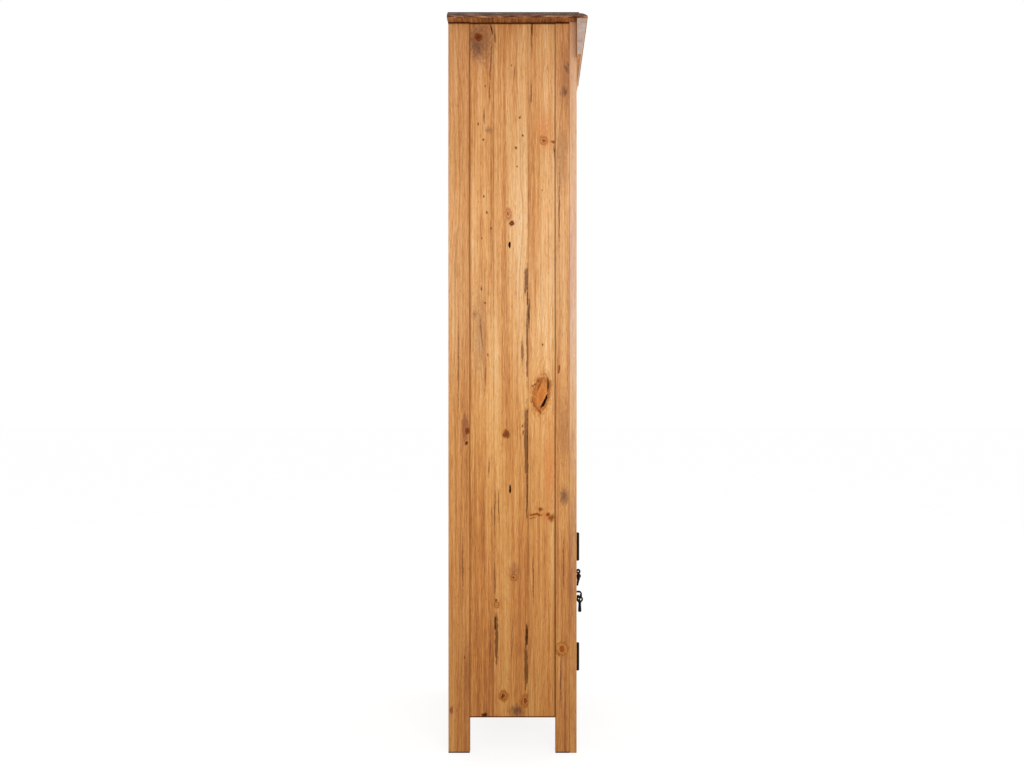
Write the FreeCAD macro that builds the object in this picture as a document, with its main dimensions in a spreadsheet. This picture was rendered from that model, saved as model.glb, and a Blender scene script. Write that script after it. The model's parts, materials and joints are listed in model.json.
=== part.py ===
# Tall pine bathroom cabinet: open shelves over one hinged door.
# Millimetres, +Z up, X across the width, the front faces -Y, the floor is Z = 0.
import FreeCAD, Part
import Sketcher
import os
from types import SimpleNamespace

doc = FreeCAD.newDocument("BathroomCabinet")
sheet = doc.addObject("Spreadsheet::Sheet", "Sizes")

DRIVING_SIZES = (
    ("overallWidth", 480, "across the top board"),
    ("overallDepth", 320, "front to back over the top board"),
    ("overallHeight", 1700, "floor to the top"),
    ("sideOverhang", 24, "top board past each side"),
    ("frontOverhang", 24, "top board past the face frame"),
    ("backOverhang", 1, "top board past the back"),
    ("topThickness", 21, "top board"),
    ("topLip", 5, "square lip under the moulded edge"),
    ("topStep", 2, "small step above the moulded edge"),
    ("topStepInset", 19, "step in from the lip"),
    ("topMouldRadius", 45, "flat round of the moulded edge"),
    ("crownHeight", 82, "crown moulding"),
    ("crownTopDepth", 22.5, "crown moulding at its top"),
    ("crownFootDepth", 9, "crown moulding at its foot"),
    ("crownEase", 1.2, "rounding of the crown's front arrises"),
    ("arrisEase", 1.2, "rounding of the boards' arrises"),
    ("legHeight", 81, "floor to the carcase"),
    ("frameThickness", 17, "face frame and door"),
    ("frameStileWidth", 43, "face frame stile"),
    ("topRailHeight", 90, "face frame rail behind the crown"),
    ("middleRailHeight", 40, "face frame rail over the door"),
    ("footRailHeight", 35, "face frame rail under the door"),
    ("sideStileThickness", 22, "stiles of the sides"),
    ("backStileWidth", 49, "back stile of a side"),
    ("sideStileWidth", 32, "front stile of a side"),
    ("panelRecess", 2, "side panel behind the face of its stiles"),
    ("backStaveWidth", 56, "first stave of a side panel"),
    ("middleStaveWidth", 78, "second stave of a side panel"),
    ("tongueThickness", 8, "tongue of a panel or rail"),
    ("tongueLength", 6, "tongue of a panel or rail"),
    ("tongueClearance", 0.2, "tongue in its groove, each way"),
    ("backBoardThickness", 9, "back boards"),
    ("backRebate", 8, "rebate in the back stiles"),
    ("backTongueThickness", 3, "tongue between back boards"),
    ("backTongueLength", 4, "tongue between back boards"),
    ("backJointGap", 0.4, "shrinkage gap between back boards"),
    ("backRailHeight", 60, "rails in front of the back boards"),
    ("backRailThickness", 18, "rails in front of the back boards"),
    ("wallHoleRadius", 2.5, "holes for the wall screws"),
    ("wallHoleInset", 44, "wall screws from the inside of each side"),
    ("shelfThickness", 18, "shelves and bottom board"),
    ("shelfClearance", 0.5, "shelf to side"),
    ("doorStopHeight", 8, "bottom board above its rail, and stop batten below its rail"),
    ("stopBattenDepth", 16, "stop batten"),
    ("cleatWidth", 15, "cleats under the shelves"),
    ("cleatHeight", 20, "cleats under the shelves"),
    ("cleatInset", 8, "cleats clear of the stop batten and the back rail"),
    ("doorOpeningHeight", 444, "foot rail to middle rail"),
    ("doorGap", 2, "round the door"),
    ("doorStileWidth", 48, "door stiles"),
    ("doorRailHeight", 48, "door rails"),
    ("doorPanelThickness", 9, "door panel"),
    ("doorGrooveDepth", 9, "groove for the door panel"),
    ("dowelRadius", 4, "dowels of the face frame"),
    ("dowelLength", 40, "dowels of the face frame"),
    ("dowelInset", 11, "dowels from the edges of their rail"),
    ("hingeInset", 91, "hinge centre from the end of the door"),
    ("hingeHeight", 62, "hinge leaf"),
    ("hingeBarrelRadius", 4, "knuckles"),
    ("hingePinRadius", 2, "hinge pin"),
    ("hingePinClearance", 0.05, "pin in its knuckles"),
    ("hingeProud", 4, "pin centre in front of the door"),
    ("hingeLeafThickness", 1.5, "hinge leaf"),
    ("hingeLeafDepth", 14, "hinge leaf behind the face of the door"),
    ("hingeMortise", 1, "leaf let into the wood"),
    ("knuckleGap", 0.15, "between knuckles"),
    ("finialHeight", 2.5, "end cap of the hinge pin"),
    ("screwRadius", 1.5, "wood screws of the hinges"),
    ("screwHeadRadius", 2.8, "wood screws of the hinges"),
    ("screwHeadHeight", 1.2, "wood screws of the hinges"),
    ("screwLength", 14, "wood screws of the hinges"),
    ("screwInset", 9, "hinge screws from the ends of the leaf"),
    ("screwClearance", 0.05, "screw in its hole"),
    ("cleatScrewRadius", 2, "screws of the cleats"),
    ("cleatScrewHeadRadius", 4, "screws of the cleats"),
    ("cleatScrewHeadHeight", 2.4, "screws of the cleats"),
    ("cleatScrewLength", 30, "screws of the cleats"),
    ("cleatScrewInset", 30, "screws from the ends of a cleat"),
    ("latchDrop", 8, "latch spindle below the middle of the door"),
    ("roseRadius", 12, "latch rose"),
    ("roseThickness", 3, "latch rose"),
    ("spindleRadius", 3, "latch spindle"),
    ("spindleClearance", 0.05, "spindle in its bore"),
    ("leverBallRadius", 6.5, "ball of the latch lever"),
    ("leverBallOut", 21, "ball centre in front of the door"),
    ("leverLoopRadius", 5.2, "ring of the lever's head, to its wire"),
    ("leverLoopWire", 1.9, "ring of the lever's head"),
    ("leverLoopOut", 19.8, "ring centre in front of the door"),
    ("leverWeb", 2, "thin web inside the ring"),
    ("leverTailRoot", 3.4, "tail radius at the ball"),
    ("leverTailTip", 1.8, "tail radius at its end"),
    ("leverTipBall", 2.25, "ball at the end of the tail"),
    ("leverTailDrop", 24, "end of the tail below the spindle"),
    ("leverTailOut", 18, "end of the tail in front of the door"),
    ("latchNutRadius", 6, "nut behind the tongue"),
    ("latchNutThickness", 4, "nut behind the tongue"),
    ("latchTongueReach", 40, "tongue from spindle to tip"),
    ("latchTongueWidth", 14, "latch tongue"),
    ("latchTongueThickness", 3, "latch tongue"),
    ("latchTongueGap", 0.5, "tongue behind the door and the stile"),
    ("pullDrop", 59.4, "pin of the pull below the latch spindle"),
    ("pullOut", 24, "pin of the pull in front of the door"),
    ("pullPlateWidth", 20, "back plate"),
    ("pullPlateAbove", 24, "back plate above the pin"),
    ("pullPlateBelow", 30, "back plate below the pin"),
    ("pullPlateThickness", 2.5, "back plate"),
    ("pullBossRadius", 5, "boss of the back plate"),
    ("pullBossOut", 13, "boss of the back plate"),
    ("pullBossRise", 3.5, "boss above the pin"),
    ("neckArm", 1.6, "straight front of the swan neck, over the ring"),
    ("neckThickness", 3, "swan neck"),
    ("neckOut", 30, "swan neck in front of the door"),
    ("neckBend", 8, "outer round of the swan neck"),
    ("earThickness", 2, "ears of the swan neck"),
    ("earRadius", 2.6, "ears of the swan neck"),
    ("earGap", 0.6, "ear and swan neck to ring"),
    ("pullPinRadius", 1.5, "pin of the pull"),
    ("pullPinClearance", 0.05, "pin in the ring"),
    ("pullRingRadius", 6.8, "ring of the pendant, to its wire"),
    ("pullRingWire", 1.6, "ring of the pendant"),
    ("pendantLength", 27, "bar of the pendant"),
    ("pendantNeckRadius", 2.6, "bar of the pendant, at the ring"),
    ("pendantBellyRadius", 4.2, "bar of the pendant, at its foot"),
    ("pullBoltRadius", 2, "bolts of the pull"),
    ("pullBoltHeadRadius", 3.4, "bolts of the pull"),
    ("pullBoltHeadHeight", 1.8, "bolts of the pull"),
    ("pullBoltRise", 19.5, "upper bolt above the pin"),
    ("pullBoltDrop", 25.5, "lower bolt below the pin"),
    ("cutOverrun", 2, "tools run past what they cut"),
)
BACK_BOARD_COUNT = 5
OPEN_SHELF_COUNT = 3
HINGE_KNUCKLES = 5
HINGE_SCREWS = 3


class Size:
    """A length with its value now and the sheet expression that gives it."""

    def __init__(self, value, text):
        self.value = value
        self.text = text

    def __add__(self, other):
        other = as_size(other)
        return Size(self.value + other.value, f"({self.text} + {other.text})")

    def __sub__(self, other):
        other = as_size(other)
        return Size(self.value - other.value, f"({self.text} - {other.text})")

    def __mul__(self, factor):
        return Size(self.value * factor, f"{self.text} * {factor}")

    def __truediv__(self, divisor):
        return Size(self.value / divisor, f"{self.text} / {divisor}")

    def __neg__(self):
        return Size(-self.value, f"(0 - {self.text})")


def as_size(value):
    return value if isinstance(value, Size) else Size(value, f"{value}")


sizes = SimpleNamespace()
for row, (name, value, meaning) in enumerate(DRIVING_SIZES, start=1):
    sheet.set(f"A{row}", meaning)
    sheet.set(f"B{row}", f"{value}")
    sheet.setAlias(f"B{row}", name)
    setattr(sizes, name, Size(value, f"Sizes.{name}"))
doc.recompute()

ZERO = as_size(0)
pieces = []


def bind(item, links):
    for target, size in links.items():
        item.setExpression(target, as_size(size).text)


def place(item, x, y, z):
    bind(item, {"Placement.Base.x": x, "Placement.Base.y": y, "Placement.Base.z": z})


def keep(name, item):
    item.Label = name
    pieces.append(item)
    return item


def block(name, low, high):
    """A plain block between two corners."""
    item = doc.addObject("Part::Box", name)
    bind(item, {"Length": high[0] - low[0], "Width": high[1] - low[1], "Height": high[2] - low[2]})
    place(item, *low)
    return item


TURNS = {
    "X": FreeCAD.Rotation(FreeCAD.Vector(0, 1, 0), 90),
    "-X": FreeCAD.Rotation(FreeCAD.Vector(0, 1, 0), -90),
    "Y": FreeCAD.Rotation(FreeCAD.Vector(1, 0, 0), -90),
    "-Y": FreeCAD.Rotation(FreeCAD.Vector(1, 0, 0), 90),
    "Z": FreeCAD.Rotation(),
    "-Z": FreeCAD.Rotation(FreeCAD.Vector(1, 0, 0), 180),
}


def rod(name, start, way, radius, length):
    """A round bar from a point along a row axis."""
    item = doc.addObject("Part::Cylinder", name)
    bind(item, {"Radius": radius, "Height": length})
    item.Placement = FreeCAD.Placement(FreeCAD.Vector(), TURNS[way])
    place(item, *start)
    return item


def taper(name, start, way, first_radius, last_radius, length):
    """A cone from a point along a row axis."""
    item = doc.addObject("Part::Cone", name)
    bind(item, {"Radius1": first_radius, "Radius2": last_radius, "Height": length})
    item.Placement = FreeCAD.Placement(FreeCAD.Vector(), TURNS[way])
    place(item, *start)
    return item


def ball(name, centre, radius):
    item = doc.addObject("Part::Sphere", name)
    bind(item, {"Radius": radius})
    place(item, *centre)
    return item


def dome(name, centre, way, radius):
    """Half a ball that bulges along a row axis."""
    item = ball(name, centre, radius)
    item.Angle1 = 0
    item.Placement = FreeCAD.Placement(FreeCAD.Vector(), TURNS[way])
    place(item, *centre)
    return item


def ring(name, centre, way, radius, wire):
    item = doc.addObject("Part::Torus", name)
    bind(item, {"Radius1": radius, "Radius2": wire})
    item.Placement = FreeCAD.Placement(FreeCAD.Vector(), TURNS[way])
    place(item, *centre)
    return item


def union(name, items):
    item = doc.addObject("Part::MultiFuse", name)
    item.Shapes = items
    item.Refine = True
    return item


def group(name, items):
    item = doc.addObject("Part::Compound", name)
    item.Links = items
    return item


def carve(name, base, tools):
    item = doc.addObject("Part::Cut", name)
    item.Base = base
    item.Tool = tools[0] if len(tools) == 1 else union(name + "Tools", tools)
    return item


def ease(name, base, axis, radius, low_only=()):
    """Rounds the outer arrises of a board that run along an axis.

    low_only names the axes on whose low side alone the arrises are rounded.
    """
    doc.recompute()
    box = base.Shape.BoundBox
    low = FreeCAD.Vector(box.XMin, box.YMin, box.ZMin)
    high = FreeCAD.Vector(box.XMax, box.YMax, box.ZMax)
    along = "XYZ".index(axis)
    near = base.Shape.Vertexes[0].Tolerance * box.DiagonalLength
    chosen = []
    for number, edge in enumerate(base.Shape.Edges, start=1):
        if len(edge.Vertexes) < 2:
            continue
        ends = [vertex.Point for vertex in edge.Vertexes]
        straight = abs(ends[0][along] - ends[1][along]) > edge.Length * (1 - near)
        outer = True
        for side in range(3):
            if side == along:
                continue
            at_low = all(abs(end[side] - low[side]) < near for end in ends)
            at_high = all(abs(end[side] - high[side]) < near for end in ends)
            outer = outer and (at_low or (at_high and "XYZ"[side] not in low_only))
        if straight and outer:
            chosen.append((number, radius.value, radius.value))
    item = doc.addObject("Part::Fillet", name)
    item.Base = base
    item.Edges = chosen
    return item


def outline(sketch, corners):
    """Draws a closed outline whose corners are bound to the sheet.

    A corner is (across, up), or (across, up, radius) where the side that ends there is an arc
    that bulges outwards from an outline drawn counterclockwise.
    """
    points = [FreeCAD.Vector(corner[0].value, corner[1].value) for corner in corners]
    for index, corner in enumerate(corners):
        start = points[index - 1]
        end = points[index]
        if len(corner) == 2:
            sketch.addGeometry(Part.LineSegment(start, end))
        else:
            chord = end - start
            radius = corner[2].value
            rise = (radius ** 2 - (chord.Length / 2) ** 2) ** 0.5
            inward = FreeCAD.Vector(-chord.y, chord.x).normalize()
            centre = (start + end) / 2 + inward * rise
            circle = Part.Circle(centre, FreeCAD.Vector(0, 0, 1), radius)
            sketch.addGeometry(Part.ArcOfCircle(circle, circle.parameter(start), circle.parameter(end)))
    count = len(corners)
    for index, corner in enumerate(corners):
        following = (index + 1) % count
        sketch.addConstraint(Sketcher.Constraint("Coincident", index, 2, following, 1))
        for kind, size in (("DistanceX", corner[0]), ("DistanceY", corner[1])):
            number = sketch.addConstraint(Sketcher.Constraint(kind, index, 2, size.value))
            sketch.setExpression(f"Constraints[{number}]", size.text)
        if len(corner) == 3:
            number = sketch.addConstraint(Sketcher.Constraint("Radius", index, corner[2].value))
            sketch.setExpression(f"Constraints[{number}]", corner[2].text)


def new_sketch(body, plane, corners):
    sketch = body.newObject("Sketcher::SketchObject", body.Name + "Sketch")
    support = [item for item in body.Origin.OriginFeatures if item.Role == plane]
    sketch.AttachmentSupport = [(support[0], "")]
    sketch.MapMode = "FlatFace"
    outline(sketch, corners)
    return sketch


def moulded(name, plane, corners, length, corner):
    """A length of moulding: a bound outline padded along the plane's normal, then placed."""
    body = doc.addObject("PartDesign::Body", name)
    sketch = new_sketch(body, plane, corners)
    pad = body.newObject("PartDesign::Pad", name + "Pad")
    pad.Profile = sketch
    bind(pad, {"Length": length})
    pad.Reversed = plane == "XZ_Plane"
    place(body, *corner)
    return body


def turned(name, corners, centre):
    """A turned piece: a bound outline revolved about the vertical axis, then placed."""
    body = doc.addObject("PartDesign::Body", name)
    sketch = new_sketch(body, "XZ_Plane", corners)
    revolution = body.newObject("PartDesign::Revolution", name + "Turn")
    revolution.Profile = sketch
    revolution.ReferenceAxis = (sketch, ["V_Axis"])
    revolution.Angle = 360
    place(body, *centre)
    return body


def screw(name, seat, way, shank, head, head_height, length, slack=ZERO):
    """A countersunk screw whose head is flush with its seat and whose shank runs along way."""
    cone = taper(name + "Head", seat, way, head + slack, shank + slack, head_height)
    bar = rod(name + "Shank", seat, way, shank + slack, length + slack)
    return union(name, [cone, bar])


# Main places, worked out from the driving sizes

half_width = sizes.overallWidth / 2
body_left = sizes.sideOverhang - half_width
body_right = -body_left
# the origin lies under the middle of the outline seen from above, which the pull's ring widens
pull_reach = sizes.pullOut + sizes.pullRingRadius + sizes.pullRingWire - sizes.frontOverhang
top_front = (pull_reach - sizes.overallDepth) / 2
body_front = top_front + sizes.frontOverhang
body_back = top_front + sizes.overallDepth - sizes.backOverhang
body_top = sizes.overallHeight - sizes.topThickness
frame_back = body_front + sizes.frameThickness
stile_back = frame_back + sizes.sideStileWidth
panel_back = body_back - sizes.backStileWidth
inner_left = body_left + sizes.sideStileThickness
inner_right = -inner_left
opening_left = body_left + sizes.frameStileWidth
opening_right = -opening_left
board_back = body_back - sizes.backBoardThickness
foot_rail_top = sizes.legHeight + sizes.footRailHeight
middle_rail_foot = foot_rail_top + sizes.doorOpeningHeight
middle_rail_top = middle_rail_foot + sizes.middleRailHeight
top_rail_foot = body_top - sizes.topRailHeight
floor_level = ZERO
door_left = opening_left + sizes.doorGap
door_right = opening_right - sizes.doorGap
door_foot = foot_rail_top + sizes.doorGap
door_top = middle_rail_foot - sizes.doorGap
overrun = sizes.cutOverrun
latch_x = door_right - sizes.doorStileWidth / 2
latch_z = (door_foot + door_top) / 2 - sizes.latchDrop
pull_z = latch_z - sizes.pullDrop


def mirrored_x(side, left_low, left_high):
    """The X span of a piece that is given for the left side."""
    return (left_low, left_high) if side == "left" else (-left_high, -left_low)


def top_board():
    width = sizes.overallWidth
    depth = sizes.overallDepth
    thick = sizes.topThickness
    lip = sizes.topLip
    inset = sizes.topStepInset
    step = thick - sizes.topStep
    across = [
        (width, ZERO), (width, lip), (width - inset, step, sizes.topMouldRadius),
        (width - inset, thick), (inset, thick), (inset, step), (ZERO, lip, sizes.topMouldRadius),
        (ZERO, ZERO),
    ]
    along = [
        (depth, ZERO), (depth, thick), (inset, thick), (inset, step),
        (ZERO, lip, sizes.topMouldRadius), (ZERO, ZERO),
    ]
    corner = (-half_width, top_front, body_top)
    side_mould = moulded("topSideMoulding", "XZ_Plane", across, depth, corner)
    front_mould = moulded("topFrontMoulding", "YZ_Plane", along, width, corner)
    board = doc.addObject("Part::Common", "topBoardMoulded")
    board.Base = side_mould
    board.Tool = front_mould
    holes = []
    screws = []
    for number, spot in enumerate(top_screws()):
        holes.append(screw(f"topBoardHole{number}", *spot, slack=sizes.screwClearance))
        screws.append(screw(f"topBoardScrew{number}", *spot))
    keep("top_board", carve("topBoard", board, holes))
    keep("top_board_screws", group("topBoardScrews", screws))


def crown():
    slope = sizes.crownTopDepth - sizes.crownFootDepth
    section = [
        (sizes.crownTopDepth, ZERO), (sizes.crownTopDepth, sizes.crownHeight),
        (ZERO, sizes.crownHeight), (slope, ZERO),
    ]
    corner = (-half_width, body_front - sizes.crownTopDepth, body_top - sizes.crownHeight)
    moulding = moulded("crownMoulding", "YZ_Plane", section, sizes.overallWidth, corner)
    keep("crown_moulding", ease("crownEased", moulding, "X", sizes.crownEase, low_only=("Y",)))


def side(which):
    """One side: back stile, front stile and a panel of three staves between them."""
    outer, inner = mirrored_x(which, body_left, inner_left)
    panel_low, panel_high = mirrored_x(which, body_left + sizes.panelRecess, inner_left)
    middle = (body_left + sizes.panelRecess + inner_left) / 2
    tongue_low, tongue_high = mirrored_x(
        which, middle - sizes.tongueThickness / 2, middle + sizes.tongueThickness / 2)
    slack = sizes.tongueClearance
    groove_depth = sizes.tongueLength + slack
    rebate_low, rebate_high = mirrored_x(which, inner_left - sizes.backRebate, inner_left + overrun)

    back_blank = block(f"{which}BackStileBlank", (outer, panel_back, floor_level),
                       (inner, body_back, body_top))
    back_groove = block(f"{which}BackGroove",
                        (tongue_low - slack, panel_back - overrun, sizes.legHeight),
                        (tongue_high + slack, panel_back + groove_depth, body_top + overrun))
    rebate = block(f"{which}BackRebate", (rebate_low, board_back, sizes.legHeight),
                   (rebate_high, body_back + overrun, body_top + overrun))
    back_eased = ease(f"{which}BackStileEased", back_blank, "Z", sizes.arrisEase)
    keep(f"{which}_back_stile", carve(f"{which}BackStile", back_eased, [back_groove, rebate]))

    front_blank = block(f"{which}SideStileBlank", (outer, frame_back, floor_level),
                        (inner, stile_back, body_top))
    front_groove = block(f"{which}SideGroove",
                         (tongue_low - slack, stile_back - groove_depth, sizes.legHeight),
                         (tongue_high + slack, stile_back + overrun, body_top + overrun))
    front_eased = ease(f"{which}SideStileEased", front_blank, "Z", sizes.arrisEase)
    keep(f"{which}_side_stile", carve(f"{which}SideStile", front_eased, [front_groove]))

    first_joint = panel_back - sizes.backStaveWidth
    second_joint = first_joint - sizes.middleStaveWidth
    spans = ((first_joint, panel_back), (second_joint, first_joint), (stile_back, second_joint))
    staves = []
    for number, (start, end) in enumerate(spans, start=1):
        stave = block(f"{which}Stave{number}", (panel_low, start, sizes.legHeight),
                      (panel_high, end, body_top))
        if number == 1:
            tongue = (end, end + sizes.tongueLength)
        elif number == len(spans):
            tongue = (start - sizes.tongueLength, start)
        else:
            staves.append(stave)
            continue
        edge = block(f"{which}Tongue{number}", (tongue_low, tongue[0], sizes.legHeight),
                     (tongue_high, tongue[1], body_top))
        staves.append(union(f"{which}TonguedStave{number}", [stave, edge]))
    holes = [screw(f"{which}PanelHole{index}", *spot, slack=sizes.screwClearance)
             for index, spot in enumerate(cleat_screw_spots(which))]
    cutters = union(f"{which}PanelHoles", holes)
    drilled = []
    for number, stave in enumerate(staves, start=1):
        cut = doc.addObject("Part::Cut", f"{which}DrilledStave{number}")
        cut.Base = stave
        cut.Tool = cutters
        drilled.append(cut)
    keep(f"{which}_side_panel", group(f"{which}SidePanel", drilled))


def shelf_tops():
    """Tops of the bottom board, the shelf over the door and the open shelves."""
    open_height = (top_rail_foot - middle_rail_top - sizes.shelfThickness * OPEN_SHELF_COUNT)
    bay = open_height / (OPEN_SHELF_COUNT + 1)
    tops = [("bottom_board", foot_rail_top + sizes.doorStopHeight),
            ("door_bay_shelf", middle_rail_top)]
    for number in range(1, OPEN_SHELF_COUNT + 1):
        tops.append((f"open_shelf_{number}", middle_rail_top + (bay + sizes.shelfThickness) * number))
    return tops


def cleat_spans():
    """Foot and top of each cleat of one side, from the floor up, then of the top batten."""
    spans = []
    for name, top in shelf_tops():
        cleat_top = top - sizes.shelfThickness
        spans.append((cleat_top - sizes.cleatHeight, cleat_top))
    spans.append((body_top - sizes.cleatHeight, body_top))
    return spans


cleat_front = frame_back + sizes.stopBattenDepth + sizes.cleatInset
cleat_back = board_back - sizes.backRailThickness - sizes.cleatInset


def cleat_screw_spots(which):
    """Seat, way and sizes of each screw that holds the cleats of one side."""
    face = inner_left + sizes.cleatWidth
    way = "-X"
    if which == "right":
        face = -face
        way = "X"
    spots = []
    for foot, top in cleat_spans():
        for along in (stile_back + sizes.cleatScrewInset, panel_back - sizes.cleatScrewInset):
            seat = (face, along, (foot + top) / 2)
            spots.append((seat, way, sizes.cleatScrewRadius, sizes.cleatScrewHeadRadius,
                          sizes.cleatScrewHeadHeight, sizes.cleatScrewLength))
    return spots


def shelves():
    left = inner_left + sizes.shelfClearance
    for name, top in shelf_tops():
        board = block(name + "Blank", (left, frame_back, top - sizes.shelfThickness),
                      (-left, board_back, top))
        keep(name, ease(name + "Eased", board, "X", sizes.arrisEase, low_only=("Y",)))
    for which in ("left", "right"):
        low, high = mirrored_x(which, inner_left, inner_left + sizes.cleatWidth)
        cleats = []
        for number, (foot, top) in enumerate(cleat_spans()):
            cleats.append(block(f"{which}Cleat{number}", (low, cleat_front, foot), (high, cleat_back, top)))
        screws = []
        holes = []
        for number, spot in enumerate(cleat_screw_spots(which)):
            screws.append(screw(f"{which}CleatScrew{number}", *spot))
            holes.append(screw(f"{which}CleatHole{number}", *spot, slack=sizes.screwClearance))
        drilled = []
        for number, cleat in enumerate(cleats):
            tools = holes[2 * number:2 * number + 2]
            if number == len(cleats) - 1:
                tools += [screw(f"{which}BattenHole{index}", *spot, slack=sizes.screwClearance)
                          for index, spot in enumerate(top_screws())]
            drilled.append(carve(f"{which}CleatDrilled{number}", cleat, tools))
        keep(f"{which}_cleats", group(f"{which}Cleats", drilled))
        keep(f"{which}_cleat_screws", group(f"{which}CleatScrews", screws))


def top_screws():
    """Screws up through the top battens into the top board."""
    spots = []
    for which in ("left", "right"):
        low, high = mirrored_x(which, inner_left, inner_left + sizes.cleatWidth)
        for along in (cleat_front + sizes.cleatScrewInset, cleat_back - sizes.cleatScrewInset):
            seat = ((low + high) / 2, along, body_top - sizes.cleatHeight)
            spots.append((seat, "Z", sizes.cleatScrewRadius, sizes.cleatScrewHeadRadius,
                          sizes.cleatScrewHeadHeight, sizes.cleatScrewLength))
    return spots


def back():
    rebate_left = inner_left - sizes.backRebate
    pitch = -rebate_left * 2 / BACK_BOARD_COUNT
    middle = (board_back + body_back) / 2
    half_tongue = sizes.backTongueThickness / 2
    slack = sizes.tongueClearance
    wall_holes = wall_screw_holes()
    boards = []
    for number in range(BACK_BOARD_COUNT):
        start = rebate_left + pitch * number
        end = start + pitch - sizes.backJointGap
        board = block(f"backBoard{number}", (start, board_back, sizes.legHeight),
                      (end, body_back, body_top))
        if number > 0:
            groove = block(f"backGroove{number}", (start - overrun, middle - half_tongue - slack,
                                                   sizes.legHeight - overrun),
                           (start + sizes.backTongueLength, middle + half_tongue + slack,
                            body_top + overrun))
            board = carve(f"backGrooved{number}", board, [groove])
        if number < BACK_BOARD_COUNT - 1:
            tongue = block(f"backTongue{number}", (end, middle - half_tongue, sizes.legHeight),
                           (end + sizes.backTongueLength, middle + half_tongue, body_top))
            board = union(f"backTongued{number}", [board, tongue])
        drilled = doc.addObject("Part::Cut", f"backDrilled{number}")
        drilled.Base = board
        drilled.Tool = wall_holes
        boards.append(drilled)
    keep("back_boards", group("backBoards", boards))
    rail_front = board_back - sizes.backRailThickness
    top_rail = block("backTopRailBlank", (inner_left, rail_front, body_top - sizes.backRailHeight),
                     (inner_right, board_back, body_top))
    keep("back_top_rail", carve("backTopRail", top_rail, [wall_holes]))
    foot_rail = block("backFootRail", (inner_left, rail_front, sizes.legHeight),
                      (inner_right, board_back, foot_rail_top + sizes.doorStopHeight
                       - sizes.shelfThickness))
    keep("back_foot_rail", foot_rail)


def wall_screw_holes():
    """Two clear holes through the top back rail and the boards behind it."""
    start = board_back - sizes.backRailThickness - overrun
    length = body_back + overrun - start
    height = body_top - sizes.backRailHeight / 2
    spots = (inner_left + sizes.wallHoleInset, inner_right - sizes.wallHoleInset)
    holes = [rod(f"wallHole{number}", (across, start, height), "Y", sizes.wallHoleRadius, length)
             for number, across in enumerate(spots)]
    return union("wallHoles", holes)


RAILS = (
    ("face_top_rail", top_rail_foot, body_top),
    ("face_middle_rail", middle_rail_foot, middle_rail_top),
    ("face_foot_rail", sizes.legHeight, foot_rail_top),
)


def dowel_spots(which):
    """Start of each dowel that ties the rails to one stile, along X."""
    start = opening_left if which == "left" else opening_right
    start = start - sizes.dowelLength / 2
    middle = (body_front + frame_back) / 2
    spots = []
    for name, foot, top in RAILS:
        for height in (foot + sizes.dowelInset, top - sizes.dowelInset):
            spots.append((start, middle, height))
    return spots


def dowel_set(name, which, slack):
    rods = []
    for number, spot in enumerate(dowel_spots(which)):
        spot = (spot[0] - slack, spot[1], spot[2])
        rods.append(rod(f"{name}{number}", spot, "X", sizes.dowelRadius + slack,
                        sizes.dowelLength + slack * 2))
    return rods


def face_frame():
    slack = sizes.screwClearance
    holes = {which: union(f"{which}DowelHoles", dowel_set(f"{which}DowelHole", which, slack))
             for which in ("left", "right")}
    for which in ("left", "right"):
        low, high = mirrored_x(which, body_left, opening_left)
        blank = block(f"{which}FaceStileBlank", (low, body_front, floor_level),
                      (high, frame_back, body_top))
        tools = [holes[which]]
        if which == "left":
            tools += hinge_recesses("frame")
        eased = ease(f"{which}FaceStileEased", blank, "Z", sizes.arrisEase)
        keep(f"{which}_face_stile", carve(f"{which}FaceStile", eased, tools))
    for name, foot, top in RAILS:
        blank = block(name + "Blank", (opening_left, body_front, foot), (opening_right, frame_back, top))
        eased = ease(name + "Eased", blank, "X", sizes.arrisEase)
        keep(name, carve(name + "Drilled", eased, [holes["left"], holes["right"]]))
    dowels = dowel_set("leftDowel", "left", ZERO) + dowel_set("rightDowel", "right", ZERO)
    keep("face_frame_dowels", group("faceFrameDowels", dowels))
    stop = block("stopBatten", (inner_left, frame_back, middle_rail_foot - sizes.doorStopHeight),
                 (inner_right, frame_back + sizes.stopBattenDepth,
                  middle_rail_top - sizes.shelfThickness))
    keep("door_stop_batten", stop)


pin_x = opening_left + sizes.doorGap / 2
pin_y = body_front - sizes.hingeProud
HINGES = (("upper", door_top - sizes.hingeInset), ("lower", door_foot + sizes.hingeInset))


def leaf_span(leaf):
    """X span of a hinge leaf, which is let into the stile or the door."""
    if leaf == "frame":
        face = opening_left + sizes.hingeLeafThickness - sizes.hingeMortise
        return face - sizes.hingeLeafThickness, face
    face = door_left - sizes.hingeLeafThickness + sizes.hingeMortise
    return face, face + sizes.hingeLeafThickness


def hinge_screw_spots(leaf, centre):
    span = leaf_span(leaf)
    face = span[1] if leaf == "frame" else span[0]
    way = "-X" if leaf == "frame" else "X"
    reach = sizes.hingeHeight / 2 - sizes.screwInset
    spots = []
    for number in range(HINGE_SCREWS):
        share = 2 * number / (HINGE_SCREWS - 1) - 1
        seat = (face, body_front + sizes.hingeLeafDepth / 2, centre + reach * share)
        spots.append((seat, way, sizes.screwRadius, sizes.screwHeadRadius, sizes.screwHeadHeight,
                      sizes.screwLength))
    return spots


def hinge_recesses(leaf):
    """What is cut from the stile or the door for its leaves: mortises and screw holes."""
    tools = []
    low, high = leaf_span(leaf)
    for name, centre in HINGES:
        half = sizes.hingeHeight / 2
        tools.append(block(f"{leaf}{name}Mortise", (low, body_front - overrun, centre - half),
                           (high, body_front + sizes.hingeLeafDepth, centre + half)))
        for number, spot in enumerate(hinge_screw_spots(leaf, centre)):
            tools.append(screw(f"{leaf}{name}WoodHole{number}", *spot, slack=sizes.screwClearance))
    return tools


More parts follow.
